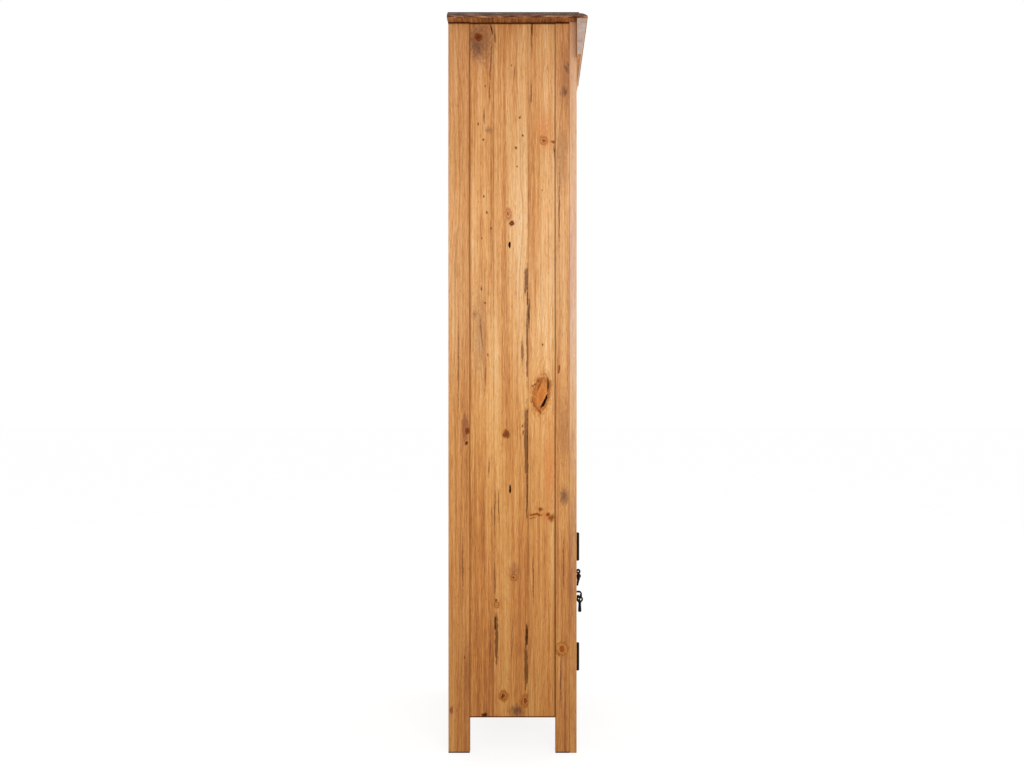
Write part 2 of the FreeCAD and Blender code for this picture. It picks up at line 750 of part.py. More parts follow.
def hinges():
    knuckle_height = sizes.hingeHeight / HINGE_KNUCKLES
    screws = {"frame": [], "door": []}
    for name, centre in HINGES:
        foot = centre - sizes.hingeHeight / 2
        half = sizes.hingeHeight / 2
        bore = rod(f"{name}PinBore", (pin_x, pin_y, foot - overrun), "Z",
                   sizes.hingePinRadius + sizes.hingePinClearance, sizes.hingeHeight + overrun * 2)
        for leaf, first in (("frame", 0), ("door", 1)):
            low, high = leaf_span(leaf)
            clear_of_barrel = pin_y + sizes.hingeBarrelRadius + sizes.knuckleGap * 2
            parts = [block(f"{name}{leaf}Plate", (low, clear_of_barrel, centre - half),
                           (high, body_front + sizes.hingeLeafDepth, centre + half))]
            for number in range(first, HINGE_KNUCKLES, 2):
                base = foot + knuckle_height * number + sizes.knuckleGap / 2
                height = knuckle_height - sizes.knuckleGap
                parts.append(rod(f"{name}{leaf}Knuckle{number}", (pin_x, pin_y, base), "Z",
                                 sizes.hingeBarrelRadius, height))
                parts.append(block(f"{name}{leaf}Wrap{number}", (low, pin_y, base),
                                   (high, clear_of_barrel, base + height)))
            tools = [bore]
            for number, spot in enumerate(hinge_screw_spots(leaf, centre)):
                tools.append(screw(f"{name}{leaf}LeafHole{number}", *spot, slack=sizes.screwClearance))
                screws[leaf].append(screw(f"{name}{leaf}Screw{number}", *spot))
            solid = union(f"{name}{leaf}LeafBlank", parts)
            keep(f"{name}_hinge_{leaf}_leaf", carve(f"{name}{leaf}Leaf", solid, tools))
        cap = sizes.hingeBarrelRadius
        shaft = rod(f"{name}PinShaft", (pin_x, pin_y, foot), "Z", sizes.hingePinRadius,
                    sizes.hingeHeight)
        upper_cap = taper(f"{name}UpperCap", (pin_x, pin_y, foot + sizes.hingeHeight), "Z",
                          cap, sizes.hingePinRadius, sizes.finialHeight)
        lower_cap = taper(f"{name}LowerCap", (pin_x, pin_y, foot), "-Z", cap,
                          sizes.hingePinRadius, sizes.finialHeight)
        keep(f"{name}_hinge_pin", union(f"{name}HingePin", [shaft, upper_cap, lower_cap]))
    for leaf, items in screws.items():
        keep(f"hinge_{leaf}_screws", group(f"{leaf}HingeScrews", items))


def door():
    slack = sizes.tongueClearance
    middle = (body_front + frame_back) / 2
    groove_low = middle - sizes.doorPanelThickness / 2 - slack
    groove_high = middle + sizes.doorPanelThickness / 2 + slack
    depth = sizes.doorGrooveDepth
    stiles = (
        ("door_hinge_stile", door_left, door_left + sizes.doorStileWidth,
         door_left + sizes.doorStileWidth - depth, door_left + sizes.doorStileWidth + overrun),
        ("door_free_stile", door_right - sizes.doorStileWidth, door_right,
         door_right - sizes.doorStileWidth - overrun, door_right - sizes.doorStileWidth + depth),
    )
    for name, low, high, groove_start, groove_end in stiles:
        blank = block(name + "Blank", (low, body_front, door_foot), (high, frame_back, door_top))
        tools = [block(name + "Groove", (groove_start, groove_low, door_foot - overrun),
                       (groove_end, groove_high, door_top + overrun))]
        if name == "door_hinge_stile":
            tools += hinge_recesses("door")
        else:
            tools += fitting_holes()
        eased = ease(name + "Eased", blank, "Z", sizes.arrisEase)
        keep(name, carve(name + "Carved", eased, tools))
    inner_low = door_left + sizes.doorStileWidth
    inner_high = door_right - sizes.doorStileWidth
    tenon = depth - slack
    rails = (
        ("door_foot_rail", door_foot, door_foot + sizes.doorRailHeight,
         door_foot + sizes.doorRailHeight - depth, door_foot + sizes.doorRailHeight + overrun),
        ("door_top_rail", door_top - sizes.doorRailHeight, door_top,
         door_top - sizes.doorRailHeight - overrun, door_top - sizes.doorRailHeight + depth),
    )
    for name, low, high, groove_start, groove_end in rails:
        blank = block(name + "Blank", (inner_low, body_front, low), (inner_high, frame_back, high))
        eased = ease(name + "Eased", blank, "X", sizes.arrisEase)
        tongue = block(name + "Tenon", (inner_low - tenon, groove_low + slack, low),
                       (inner_high + tenon, groove_high - slack, high))
        solid = union(name + "Tenoned", [eased, tongue])
        groove = block(name + "Groove", (inner_low - depth - overrun, groove_low, groove_start),
                       (inner_high + depth + overrun, groove_high, groove_end))
        keep(name, carve(name, solid, [groove]))
    panel = block("doorPanel",
                  (inner_low - tenon, groove_low + slack, door_foot + sizes.doorRailHeight - tenon),
                  (inner_high + tenon, groove_high - slack, door_top - sizes.doorRailHeight + tenon))
    keep("door_panel", panel)


def pull_bolt_spots():
    heights = (pull_z + sizes.pullBoltRise, pull_z - sizes.pullBoltDrop)
    seat = body_front - sizes.pullPlateThickness
    return [((latch_x, seat, height), "Y", sizes.pullBoltRadius, sizes.pullBoltHeadRadius,
             sizes.pullBoltHeadHeight, sizes.frameThickness) for height in heights]


def fitting_holes():
    """Holes through the free stile of the door for the latch spindle and the pull's bolts."""
    holes = [rod("spindleHole", (latch_x, body_front - overrun, latch_z), "Y",
                 sizes.spindleRadius + sizes.spindleClearance, sizes.frameThickness + overrun * 2)]
    for number, spot in enumerate(pull_bolt_spots()):
        holes.append(screw(f"pullBoltHole{number}", *spot, slack=sizes.screwClearance))
    return holes


def latch():
    """Turn latch: the lever outside and the tongue inside turn together on the spindle."""
    height = latch_z
    loop_rise = sizes.leverBallRadius + sizes.leverLoopRadius + sizes.leverLoopWire / 2
    rose_front = body_front - sizes.roseThickness
    rose = taper("roseDisc", (latch_x, body_front, height), "-Y", sizes.roseRadius,
                 sizes.roseRadius - sizes.roseThickness / 2, sizes.roseThickness)
    bore = rod("roseBore", (latch_x, body_front + overrun, height), "-Y",
               sizes.spindleRadius + sizes.spindleClearance, sizes.roseThickness + overrun * 2)
    keep("latch_rose", carve("latchRose", rose, [bore]))

    ball_centre = (latch_x, body_front - sizes.leverBallOut, height)
    ball_item = ball("leverBall", ball_centre, sizes.leverBallRadius)
    collar_length = sizes.leverBallOut - sizes.roseThickness - sizes.spindleClearance
    collar = rod("leverCollar", (latch_x, body_front - sizes.leverBallOut, height), "Y",
                 sizes.leverTailRoot + sizes.leverWeb / 2, collar_length)
    loop_centre = (latch_x, body_front - sizes.leverLoopOut, height + loop_rise)
    loop = ring("leverLoop", loop_centre, "X", sizes.leverLoopRadius, sizes.leverLoopWire)
    web = rod("leverWebDisc", (latch_x - sizes.leverWeb / 2, loop_centre[1], loop_centre[2]), "X",
              sizes.leverLoopRadius, sizes.leverWeb)
    tail = doc.addObject("Part::Loft", "leverTail")
    rings = []
    for name, drop, out, radius in (
            ("tailRoot", sizes.leverBallRadius / 2, sizes.leverBallOut, sizes.leverTailRoot),
            ("tailTip", sizes.leverTailDrop, sizes.leverTailOut, sizes.leverTailTip)):
        circle = doc.addObject("Part::Circle", name)
        bind(circle, {"Radius": radius})
        place(circle, latch_x, body_front - out, height - drop)
        rings.append(circle)
    tail.Sections = rings
    tail.Solid = True
    tip = ball("leverTip", (latch_x, body_front - sizes.leverTailOut, height - sizes.leverTailDrop),
               sizes.leverTipBall)
    tongue_front = frame_back + sizes.latchTongueGap
    tongue_back = tongue_front + sizes.latchTongueThickness
    nut_back = tongue_back + sizes.latchNutThickness
    socket = rod("leverSocket", (latch_x, body_front + overrun, height), "-Y",
                 sizes.spindleRadius, sizes.leverBallOut + overrun)
    lever = union("leverBlank", [ball_item, collar, loop, web, tail, tip])
    keep("latch_lever", carve("latchLever", lever, [socket]))
    spindle_start = body_front - sizes.leverBallOut
    spindle = rod("latchSpindle", (latch_x, spindle_start, height), "Y", sizes.spindleRadius,
                  nut_back + sizes.latchTongueGap - spindle_start)
    keep("latch_spindle", spindle)

    half = sizes.latchTongueWidth / 2
    plate = block("tonguePlate", (latch_x - half, tongue_front, height - sizes.latchTongueReach + half),
                  (latch_x + half, tongue_back, height))
    heel = rod("tongueHeel", (latch_x, tongue_front, height), "Y", half, sizes.latchTongueThickness)
    toe = rod("tongueToe", (latch_x, tongue_front, height - sizes.latchTongueReach + half), "Y", half,
              sizes.latchTongueThickness)
    hole = rod("tongueHole", (latch_x, tongue_front - overrun, height), "Y", sizes.spindleRadius,
               sizes.latchTongueThickness + overrun * 2)
    solid = union("tongueBlank", [plate, heel, toe])
    keep("latch_tongue", carve("latchTongue", solid, [hole]))

    nut = doc.addObject("Part::Prism", "latchNutBlank")
    nut.Polygon = 6
    bind(nut, {"Circumradius": sizes.latchNutRadius, "Height": sizes.latchNutThickness})
    nut.Placement = FreeCAD.Placement(FreeCAD.Vector(), TURNS["Y"])
    place(nut, latch_x, tongue_back, height)
    thread = rod("latchNutBore", (latch_x, tongue_back - overrun, height), "Y", sizes.spindleRadius,
                 sizes.latchNutThickness + overrun * 2)
    keep("latch_nut", carve("latchNut", nut, [thread]))


def pull():
    """Drop pull: a pendant that hangs in the ears of a swan neck on its back plate."""
    height = pull_z
    half = sizes.pullPlateWidth / 2
    plate_front = body_front - sizes.pullPlateThickness
    upper = height + sizes.pullPlateAbove - half
    lower = height - sizes.pullPlateBelow + half
    plate = block("pullPlate", (latch_x - half, plate_front, lower), (latch_x + half, body_front, upper))
    upper_round = rod("pullPlateTop", (latch_x, plate_front, upper), "Y", half, sizes.pullPlateThickness)
    lower_round = rod("pullPlateFoot", (latch_x, plate_front, lower), "Y", half,
                      sizes.pullPlateThickness)
    boss_height = height + sizes.pullBossRise
    boss_base = body_front - sizes.pullBossOut + sizes.pullBossRadius
    boss = rod("pullBoss", (latch_x, body_front, boss_height), "-Y", sizes.pullBossRadius,
               sizes.pullBossOut - sizes.pullBossRadius)
    boss_end = dome("pullBossEnd", (latch_x, boss_base, boss_height), "-Y", sizes.pullBossRadius)

    # The swan neck is drawn from the side and padded across; ears leave room for the ring.
    out = sizes.neckOut
    thick = sizes.neckThickness
    bend = sizes.neckBend
    chin = sizes.pullRingRadius + sizes.pullRingWire + sizes.earGap
    rise = chin + sizes.neckArm + bend
    neck_width = (sizes.pullRingWire + sizes.earGap + sizes.earThickness) * 2
    neck_section = [
        (out, rise - thick), (out, rise), (bend, rise), (ZERO, rise - bend, bend),
        (ZERO, chin), (thick, chin), (thick, rise - bend), (bend, rise - thick),
    ]
    neck_left = latch_x - neck_width / 2
    neck = moulded("swanNeck", "YZ_Plane", neck_section, neck_width,
                   (neck_left, body_front - out, height))
    ear_reach = out - sizes.pullOut
    ears = []
    for name, start in (("leftEar", neck_left),
                        ("rightEar", latch_x + neck_width / 2 - sizes.earThickness)):
        ears.append(rod(name, (start, body_front - sizes.pullOut, height), "X", sizes.earRadius,
                        sizes.earThickness))
        ears.append(block(name + "Web", (start, body_front - out, height),
                          (start + sizes.earThickness, body_front - out + ear_reach, height + chin)))
    solid = union("pullPlateBlank", [plate, upper_round, lower_round, boss, boss_end, neck] + ears)
    pin_start = (neck_left, body_front - sizes.pullOut, height)
    bore = rod("pullPinBore", (neck_left - overrun, pin_start[1], height), "X",
               sizes.pullPinRadius, neck_width + overrun * 2)
    tools = [bore]
    bolts = []
    for number, spot in enumerate(pull_bolt_spots()):
        tools.append(screw(f"pullPlateHole{number}", *spot, slack=sizes.screwClearance))
        bolts.append(screw(f"pullBolt{number}", *spot))
    keep("pull_plate", carve("pullPlateBored", solid, tools))
    keep("pull_bolts", group("pullBolts", bolts))
    keep("pull_pin", rod("pullPin", pin_start, "X", sizes.pullPinRadius, neck_width))

    ring_inside = sizes.pullRingRadius - sizes.pullRingWire
    ring_drop = ring_inside - sizes.pullPinRadius - sizes.pullPinClearance
    ring_height = height - ring_drop
    loop = ring("pendantRing", (latch_x, body_front - sizes.pullOut, ring_height), "X",
                sizes.pullRingRadius, sizes.pullRingWire)
    pendant_foot = ring_height - sizes.pullRingRadius - sizes.pendantLength
    bar_item = turned("pendantBar", pendant_outline(), (latch_x, body_front - sizes.pullOut, pendant_foot))
    keep("pull_pendant", union("pullPendant", [loop, bar_item]))


def pendant_outline():
    """Half of the bar's outline from its foot up: a round foot, then a taper to the ring."""
    belly = sizes.pendantBellyRadius
    return [(belly, belly, belly), (sizes.pendantNeckRadius, sizes.pendantLength),
            (ZERO, sizes.pendantLength), (ZERO, ZERO)]


def check_document():
    doc.recompute()
    for item in doc.Objects:
        if "Invalid" in item.State or "Error" in item.State:
            raise SystemExit(f"{item.Label} failed: {item.State}")
    for item in pieces:
        if item.Shape.isNull() or not item.Shape.isValid():
            raise SystemExit(f"{item.Label} has no valid shape")


def write_parts():
    os.makedirs("parts", exist_ok=True)
    for item in pieces:
        item.Shape.exportStep(f"parts/{item.Label}.step")
    print(len(pieces), "parts written")


top_board()
crown()
for which in ("left", "right"):
    side(which)
face_frame()
shelves()
back()
door()
hinges()
latch()
pull()
check_document()
write_parts()
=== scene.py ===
import bpy
import json
import math
import random
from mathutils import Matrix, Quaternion, Vector


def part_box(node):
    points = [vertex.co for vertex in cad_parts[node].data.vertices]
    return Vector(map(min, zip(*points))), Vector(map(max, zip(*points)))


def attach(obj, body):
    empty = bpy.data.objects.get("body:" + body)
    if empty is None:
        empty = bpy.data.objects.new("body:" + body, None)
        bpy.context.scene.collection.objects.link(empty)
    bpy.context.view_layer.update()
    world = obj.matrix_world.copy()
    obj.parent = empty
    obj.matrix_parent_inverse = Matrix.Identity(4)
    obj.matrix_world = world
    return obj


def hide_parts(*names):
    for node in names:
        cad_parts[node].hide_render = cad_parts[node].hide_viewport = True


# Tall pine bathroom cabinet: open shelves over one door, waxed pine with black iron fittings.
# The frame is in metres, +Z up, and the front faces -Y. Settings are in millimetres.
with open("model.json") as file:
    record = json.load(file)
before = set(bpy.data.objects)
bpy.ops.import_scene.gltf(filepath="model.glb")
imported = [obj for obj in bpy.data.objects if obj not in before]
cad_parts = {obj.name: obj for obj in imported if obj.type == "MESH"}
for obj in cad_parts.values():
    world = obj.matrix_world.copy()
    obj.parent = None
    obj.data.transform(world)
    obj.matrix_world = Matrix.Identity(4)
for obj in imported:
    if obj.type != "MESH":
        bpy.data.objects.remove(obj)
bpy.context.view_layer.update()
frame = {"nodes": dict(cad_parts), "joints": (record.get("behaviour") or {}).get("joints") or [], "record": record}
mm = 0.001
weldReach = 0.001 * mm
axisNames = "XYZ"
print("frame loaded")


# Camera

cameraView = {
    "place": (-2.316, -0.0406, 0.8544),  # metres, level with the middle of the cabinet
    "pitchDown": 0.159,  # degrees
    "focalPixels": 914,
    "imageWidth": 1024,
    "centrePixel": 537,  # the column that the camera points at
    "sensor": 36,
}


def addCamera():
    view = cameraView
    turn = (math.radians(90 - view["pitchDown"]), 0, math.radians(-90))
    bpy.ops.object.camera_add(location=view["place"], rotation=turn)
    camera = bpy.context.object
    camera.name = "photoCamera"
    camera.data.sensor_width = view["sensor"]
    camera.data.lens = view["focalPixels"] * view["sensor"] / view["imageWidth"]
    camera.data.shift_x = 0.5 - view["centrePixel"] / view["imageWidth"]
    camera.data.clip_end = 60
    bpy.context.scene.camera = camera


addCamera()
print("camera set")


# Materials

def linearColour(hexText):
    channels = [int(hexText[i:i + 2], 16) / 255 for i in (1, 3, 5)]
    return [c / 12.92 if c <= 0.04045 else ((c + 0.055) / 1.055) ** 2.4 for c in channels] + [1.0]


variantSettings = {"Math": "operation", "VectorMath": "operation", "MapRange": "interpolation_type",
                   "Mix": "blend_type"}


def fillSockets(tree, node, sockets):
    # sockets by name or number, or a list in the node's own order; a MapRange has its value,
    # the two ends that it comes from and the two that it goes to
    if not isinstance(sockets, dict):
        numbers = [number for number, socket in enumerate(node.inputs) if socket.enabled]
        sockets = dict(zip(numbers, sockets))
    for key, value in sockets.items():
        if isinstance(value, bpy.types.Node):
            value = next(socket for socket in value.outputs if socket.enabled)
        if isinstance(value, bpy.types.NodeSocket):
            tree.links.new(value, node.inputs[key])
        else:
            node.inputs[key].default_value = value


def addNode(tree, kind, sockets=(), **settings):
    # a kind may have its variant after a dot, such as Math.ADD; a Mix is one of colours
    kind, _, variant = kind.partition(".")
    node = tree.nodes.new("ShaderNode" + kind)
    if kind == "Mix":
        node.data_type = "RGBA"
    if variant:
        settings[variantSettings[kind]] = variant
    for name, value in settings.items():
        setattr(node, name, value)
    fillSockets(tree, node, sockets)
    return node


def newMaterial(name, **sockets):
    material = bpy.data.materials.new(name)
    material.use_nodes = True
    tree = material.node_tree
    shader = tree.nodes["Principled BSDF"]
    fillSockets(tree, shader, {key.replace("_", " "): value for key, value in sockets.items()})
    return material, tree, shader


def solidMaterial(name, **sockets):
    # a material whose pattern runs through the object, with its places in millimetres
    material, tree, shader = newMaterial(name, **sockets)
    coords = addNode(tree, "TexCoord")
    place = addNode(tree, "VectorMath.SCALE", (coords.outputs["Object"], 1 / mm))
    return material, tree, shader, coords, place


def colourStops(ramp, stops, reach=1.0):
    points = ramp.color_ramp.elements
    while len(points) < len(stops):
        points.new(1.0)
    for point, (place, hexText) in zip(points, stops):
        point.position = place / reach
        point.color = linearColour(hexText)
    return ramp


def patchNoise(tree, source, patch, detail=2.0, roughness=0.5):
    # soft noise whose patches are that many millimetres long each way
    scaled = addNode(tree, "VectorMath.MULTIPLY", (source, [1 / size for size in patch]))
    return addNode(tree, "TexNoise", {"Vector": scaled, "Scale": 1, "Detail": detail, "Roughness": roughness})


noiseRange = (0.3, 0.7)  # where most of a noise lies

# Knots and other marks of the wood. All lengths here are in radii of the mark.
markReach = 2.5  # the colours' last stop
bendReach = (0.6, 3.2)  # where the grain bends most, and no longer


def markKind(solid, fade, strength, stops, bend=0, relief=None):
    # full out to solid, gone at fade, coloured by stops; a knot bends the grain by that share of
    # its radius. A mark with a relief, even of 0, has lost its wax. Small marks have a relief of 0,
    # because a shader with many marks in its bump gets too big and renders black.
    return {"solid": solid, "fade": fade, "strength": strength, "stops": stops, "bend": bend,
            "relief": relief}


markKinds = {
    "glow": markKind(0.1, 1.0, 0.7, [(0, "#DD8640"), (1, "#DB8F4B")]),
    "shade": markKind(0.2, 1.2, 0.5, [(0, "#8F5930"), (1, "#AE7242")]),
    "halo": markKind(0.1, 1.1, 0.7, [(0, "#8A5A38"), (1, "#A9724A")]),
    "bruise": markKind(0.2, 1.15, 0.82, [(0, "#5A3320"), (0.6, "#835437"), (1, "#A06E48")]),
    "redPatch": markKind(0.6, 1.15, 0.8, [(0, "#7F4126"), (1, "#A26038")]),
    "amber": markKind(0.9, 1.4, 0.85, [(0, "#CF7A3A"), (0.3, "#C47034"), (0.5, "#DA8B46"), (0.72, "#C37236"),
        (0.95, "#9C5A2B"), (1.08, "#C4834A"), (1.3, "#D99A5C")], bend=0.9, relief=0.2),
    "knot": markKind(1.0, 1.9, 0.97, [(0, "#1C0B05"), (0.3, "#3E1A0B"), (0.5, "#AA6430"), (0.72, "#4A210E"),
        (0.98, "#2A1208"), (1.2, "#98602F"), (1.8, "#B97F4C")], bend=0.85, relief=0.4),
    "redKnot": markKind(1.0, 1.9, 0.92, [(0, "#34140A"), (0.22, "#82401F"), (0.4, "#552410"),
        (0.62, "#A35A2E"), (0.82, "#6A3217"), (1, "#8C4C27"), (1.25, "#AF7040"),
        (1.7, "#C88F58")], bend=0.85, relief=0.3),
    "eyeKnot": markKind(1.2, 1.8, 0.88, [(0, "#8A3F20"), (0.28, "#A9562C"), (0.44, "#7A3A1C"),
        (0.6, "#D3935C"), (0.78, "#DDA26A"), (0.95, "#94552F"), (1.14, "#D3975F"), (1.34, "#B5743F"),
        (1.55, "#DBA26B")], bend=0.85, relief=0.25),
    "ringedKnot": markKind(1.0, 1.3, 0.85, [(0, "#94461F"), (0.25, "#B8602E"), (0.42, "#9C4F27"),
        (0.54, "#D39C64"), (0.85, "#DDA870"), (0.98, "#8A522B"), (1.12, "#CC955C")], bend=0.85, relief=0.2),
    "paleKnot": markKind(0.9, 1.6, 0.85, [(0, "#5E2A12"), (0.28, "#AC6434"), (0.6, "#E0A870"),
        (0.95, "#9E5C2E"), (1.2, "#CE905A")], bend=0.7, relief=0.1),
    "glue": markKind(0.75, 1.05, 0.85, [(0, "#6E4630"), (0.7, "#80543A"), (1, "#9A6A48")], relief=0),
    "streak": markKind(0.45, 1.15, 0.93, [(0, "#2E180B"), (0.6, "#52301A"), (1, "#7E4F29")], relief=0),
    "line": markKind(0.35, 1.15, 0.85, [(0, "#754018"), (1, "#94592A")]),
    "scar": markKind(0.4, 1.2, 0.9, [(0, "#7A3312"), (1, "#AE6128")], relief=0.4),
    "pin": markKind(0.6, 1.5, 0.9, [(0, "#3E1C0C"), (0.8, "#7A4722"), (1.2, "#A97145")], relief=0),
    "split": markKind(0.5, 1.2, 0.93, [(0, "#3A1B0C"), (1, "#6E3E1E")], relief=0.5),
    "crack": markKind(0.9, 1.2, 1.0, [(0, "#0A0402"), (1, "#2A1206")], relief=1.0),
}


def markFields(tree, source, marks):
    # distance to the nearest mark of each kind, and how far the grain bends round the knots
    fields = {}
    bend = 0.0
    for kind, places in marks.items():
        push = markKinds[kind]["bend"]
        for across, along, radius, stretch, *lean in places:
            local = addNode(tree, "Mapping", {
                "Vector": source, "Location": (0, across, along),
                "Rotation": (math.radians(lean[0] if lean else 0), 0, 0),
                "Scale": (1 / mm, radius, radius * stretch)}, vector_type="TEXTURE")
            distance = addNode(tree, "VectorMath.LENGTH", [local])
            if kind in fields:
                fields[kind] = addNode(tree, "Math.MINIMUM", (fields[kind], distance))
            else:
                fields[kind] = distance
            if push:
                side = addNode(tree, "SeparateXYZ", [local]).outputs["Y"]
                pushed = addNode(tree, "MapRange.SMOOTHSTEP", (distance, *bendReach, push * radius, 0))
                bend = addNode(tree, "Math.MULTIPLY_ADD", (side, pushed, bend))
    return fields, bend


# Painted shade by height: darker toward the foot and a little under the top, where less light falls: height,
# colour
paintedShadeByHeight = [(60, "#CEB68B"), (154, "#D2BC90"), (420, "#E0CAA4"), (557, "#E7D6B3"),
          (695, "#F1E5C8"), (833, "#F8EFDD"), (971, "#FFFEFF"), (1109, "#FAF6F6"),
          (1247, "#FDF6F2"), (1385, "#F2E7DA"), (1523, "#F1E3D8"), (1654, "#E2D2C1")]
paintedShadeReach = 1700  # millimetres
tonePlaces = (0.0, 0.3, 0.5, 0.72, 1.0)
sameStave = 0.4  # staves are numbered from 0
ringStops = [(0, "#5A5A5A"), (0.12, "#000000"), (0.5, "#2A2A2A"), (0.84, "#D8D8D8"), (0.93, "#FFFFFF"),
             (1, "#5A5A5A")]  # from one year's growth to the next

# Patches of noise are in millimetres through, across and along the board
pineBasics = {
    "seed": 1,
    "seedStep": (13.7, 91.3, 1570.0),
    "shadedByHeight": True,
    "tones": ["#9C5A28", "#CB8B4C", "#DDA161", "#E9B478", "#F4CA96"],  # dark to light
    "toneShift": 0.0,
    "toneSway": 1.2, "tonePatch": (120, 46, 620),
    "streak": 1.25, "streakPatch": (16, 5.5, 380),
    "fibre": 1.5, "fibrePatch": (2.2, 1.2, 34), "fibreRelief": 0.5,
    "poreStrength": 0.52, "porePatch": (3.0, 1.3, 13), "poreRange": (0.6, 0.75), "poreColour": "#8A4C1F",
    "pith": (70, 0),  # behind the board and to its side: the rings' centre
    "drift": 64, "driftPatch": (300, 300, 420),  # how far the rings wander
    "ringWidth": 3.4, "ringStrength": 0.36, "ringColour": "#A05F2A", "ringRelief": -0.3,
    "ripplePatch": (7, 7, 130),
    "yearScale": 0.37, "yearSway": 2.6,  # good years and bad ones
    "marks": {},
    "markWobble": (0, 5.0, 12.0), "wobblePatch": (11, 11, 34), "raggedPatch": (4.0, 4.0, 7.0),
    "staves": [],  # joints across the width between glued boards
    "staveShifts": [],
    "staveStep": (31.0, 57.0, 823.0), "staveTurn": (9.0, 43.0, 0.0),  # on to the next board's wood
    "seams": [],  # dark lines at joints, of dust and painted shade: axis, place, half width, strength at the foot and the top
    "seamHeights": (150, 1600), "seamDustAndShadeColour": "#451701", "seamCore": 0.3,
    "endTones": ["#6E543F", "#93755A", "#AD8E70"], "endPlaces": (0.1, 0.5, 0.85),
    "endPatch": (22, 8, 22), "endContrast": 1.6,
    "endGrain": 0.7, "endGrainPatch": (1.3, 1.3, 1.3), "endRings": -0.25, "endLevel": 0.2,
    "endFacing": (0.30, 0.55), "endDullness": 0.75,
    # heights and facing over which the painted sheen on a side grows
    "sheenHeights": (300, 850), "sheenFacing": (0.6, 0.9),
    "wearAndHighlight": 0.35, "wearAndHighlightColour": "#E4BA85", "wearAndHighlightFacing": (0.98, 0.86),  # lighter on rounded arrises: rubbed wear and a painted highlight
    "roughness": (0.40, 0.62),
    "gloss": (0.33, 0.03),  # waxed and bare
    "bumpDepth": 0.35, "bumpStrength": 0.55,
}


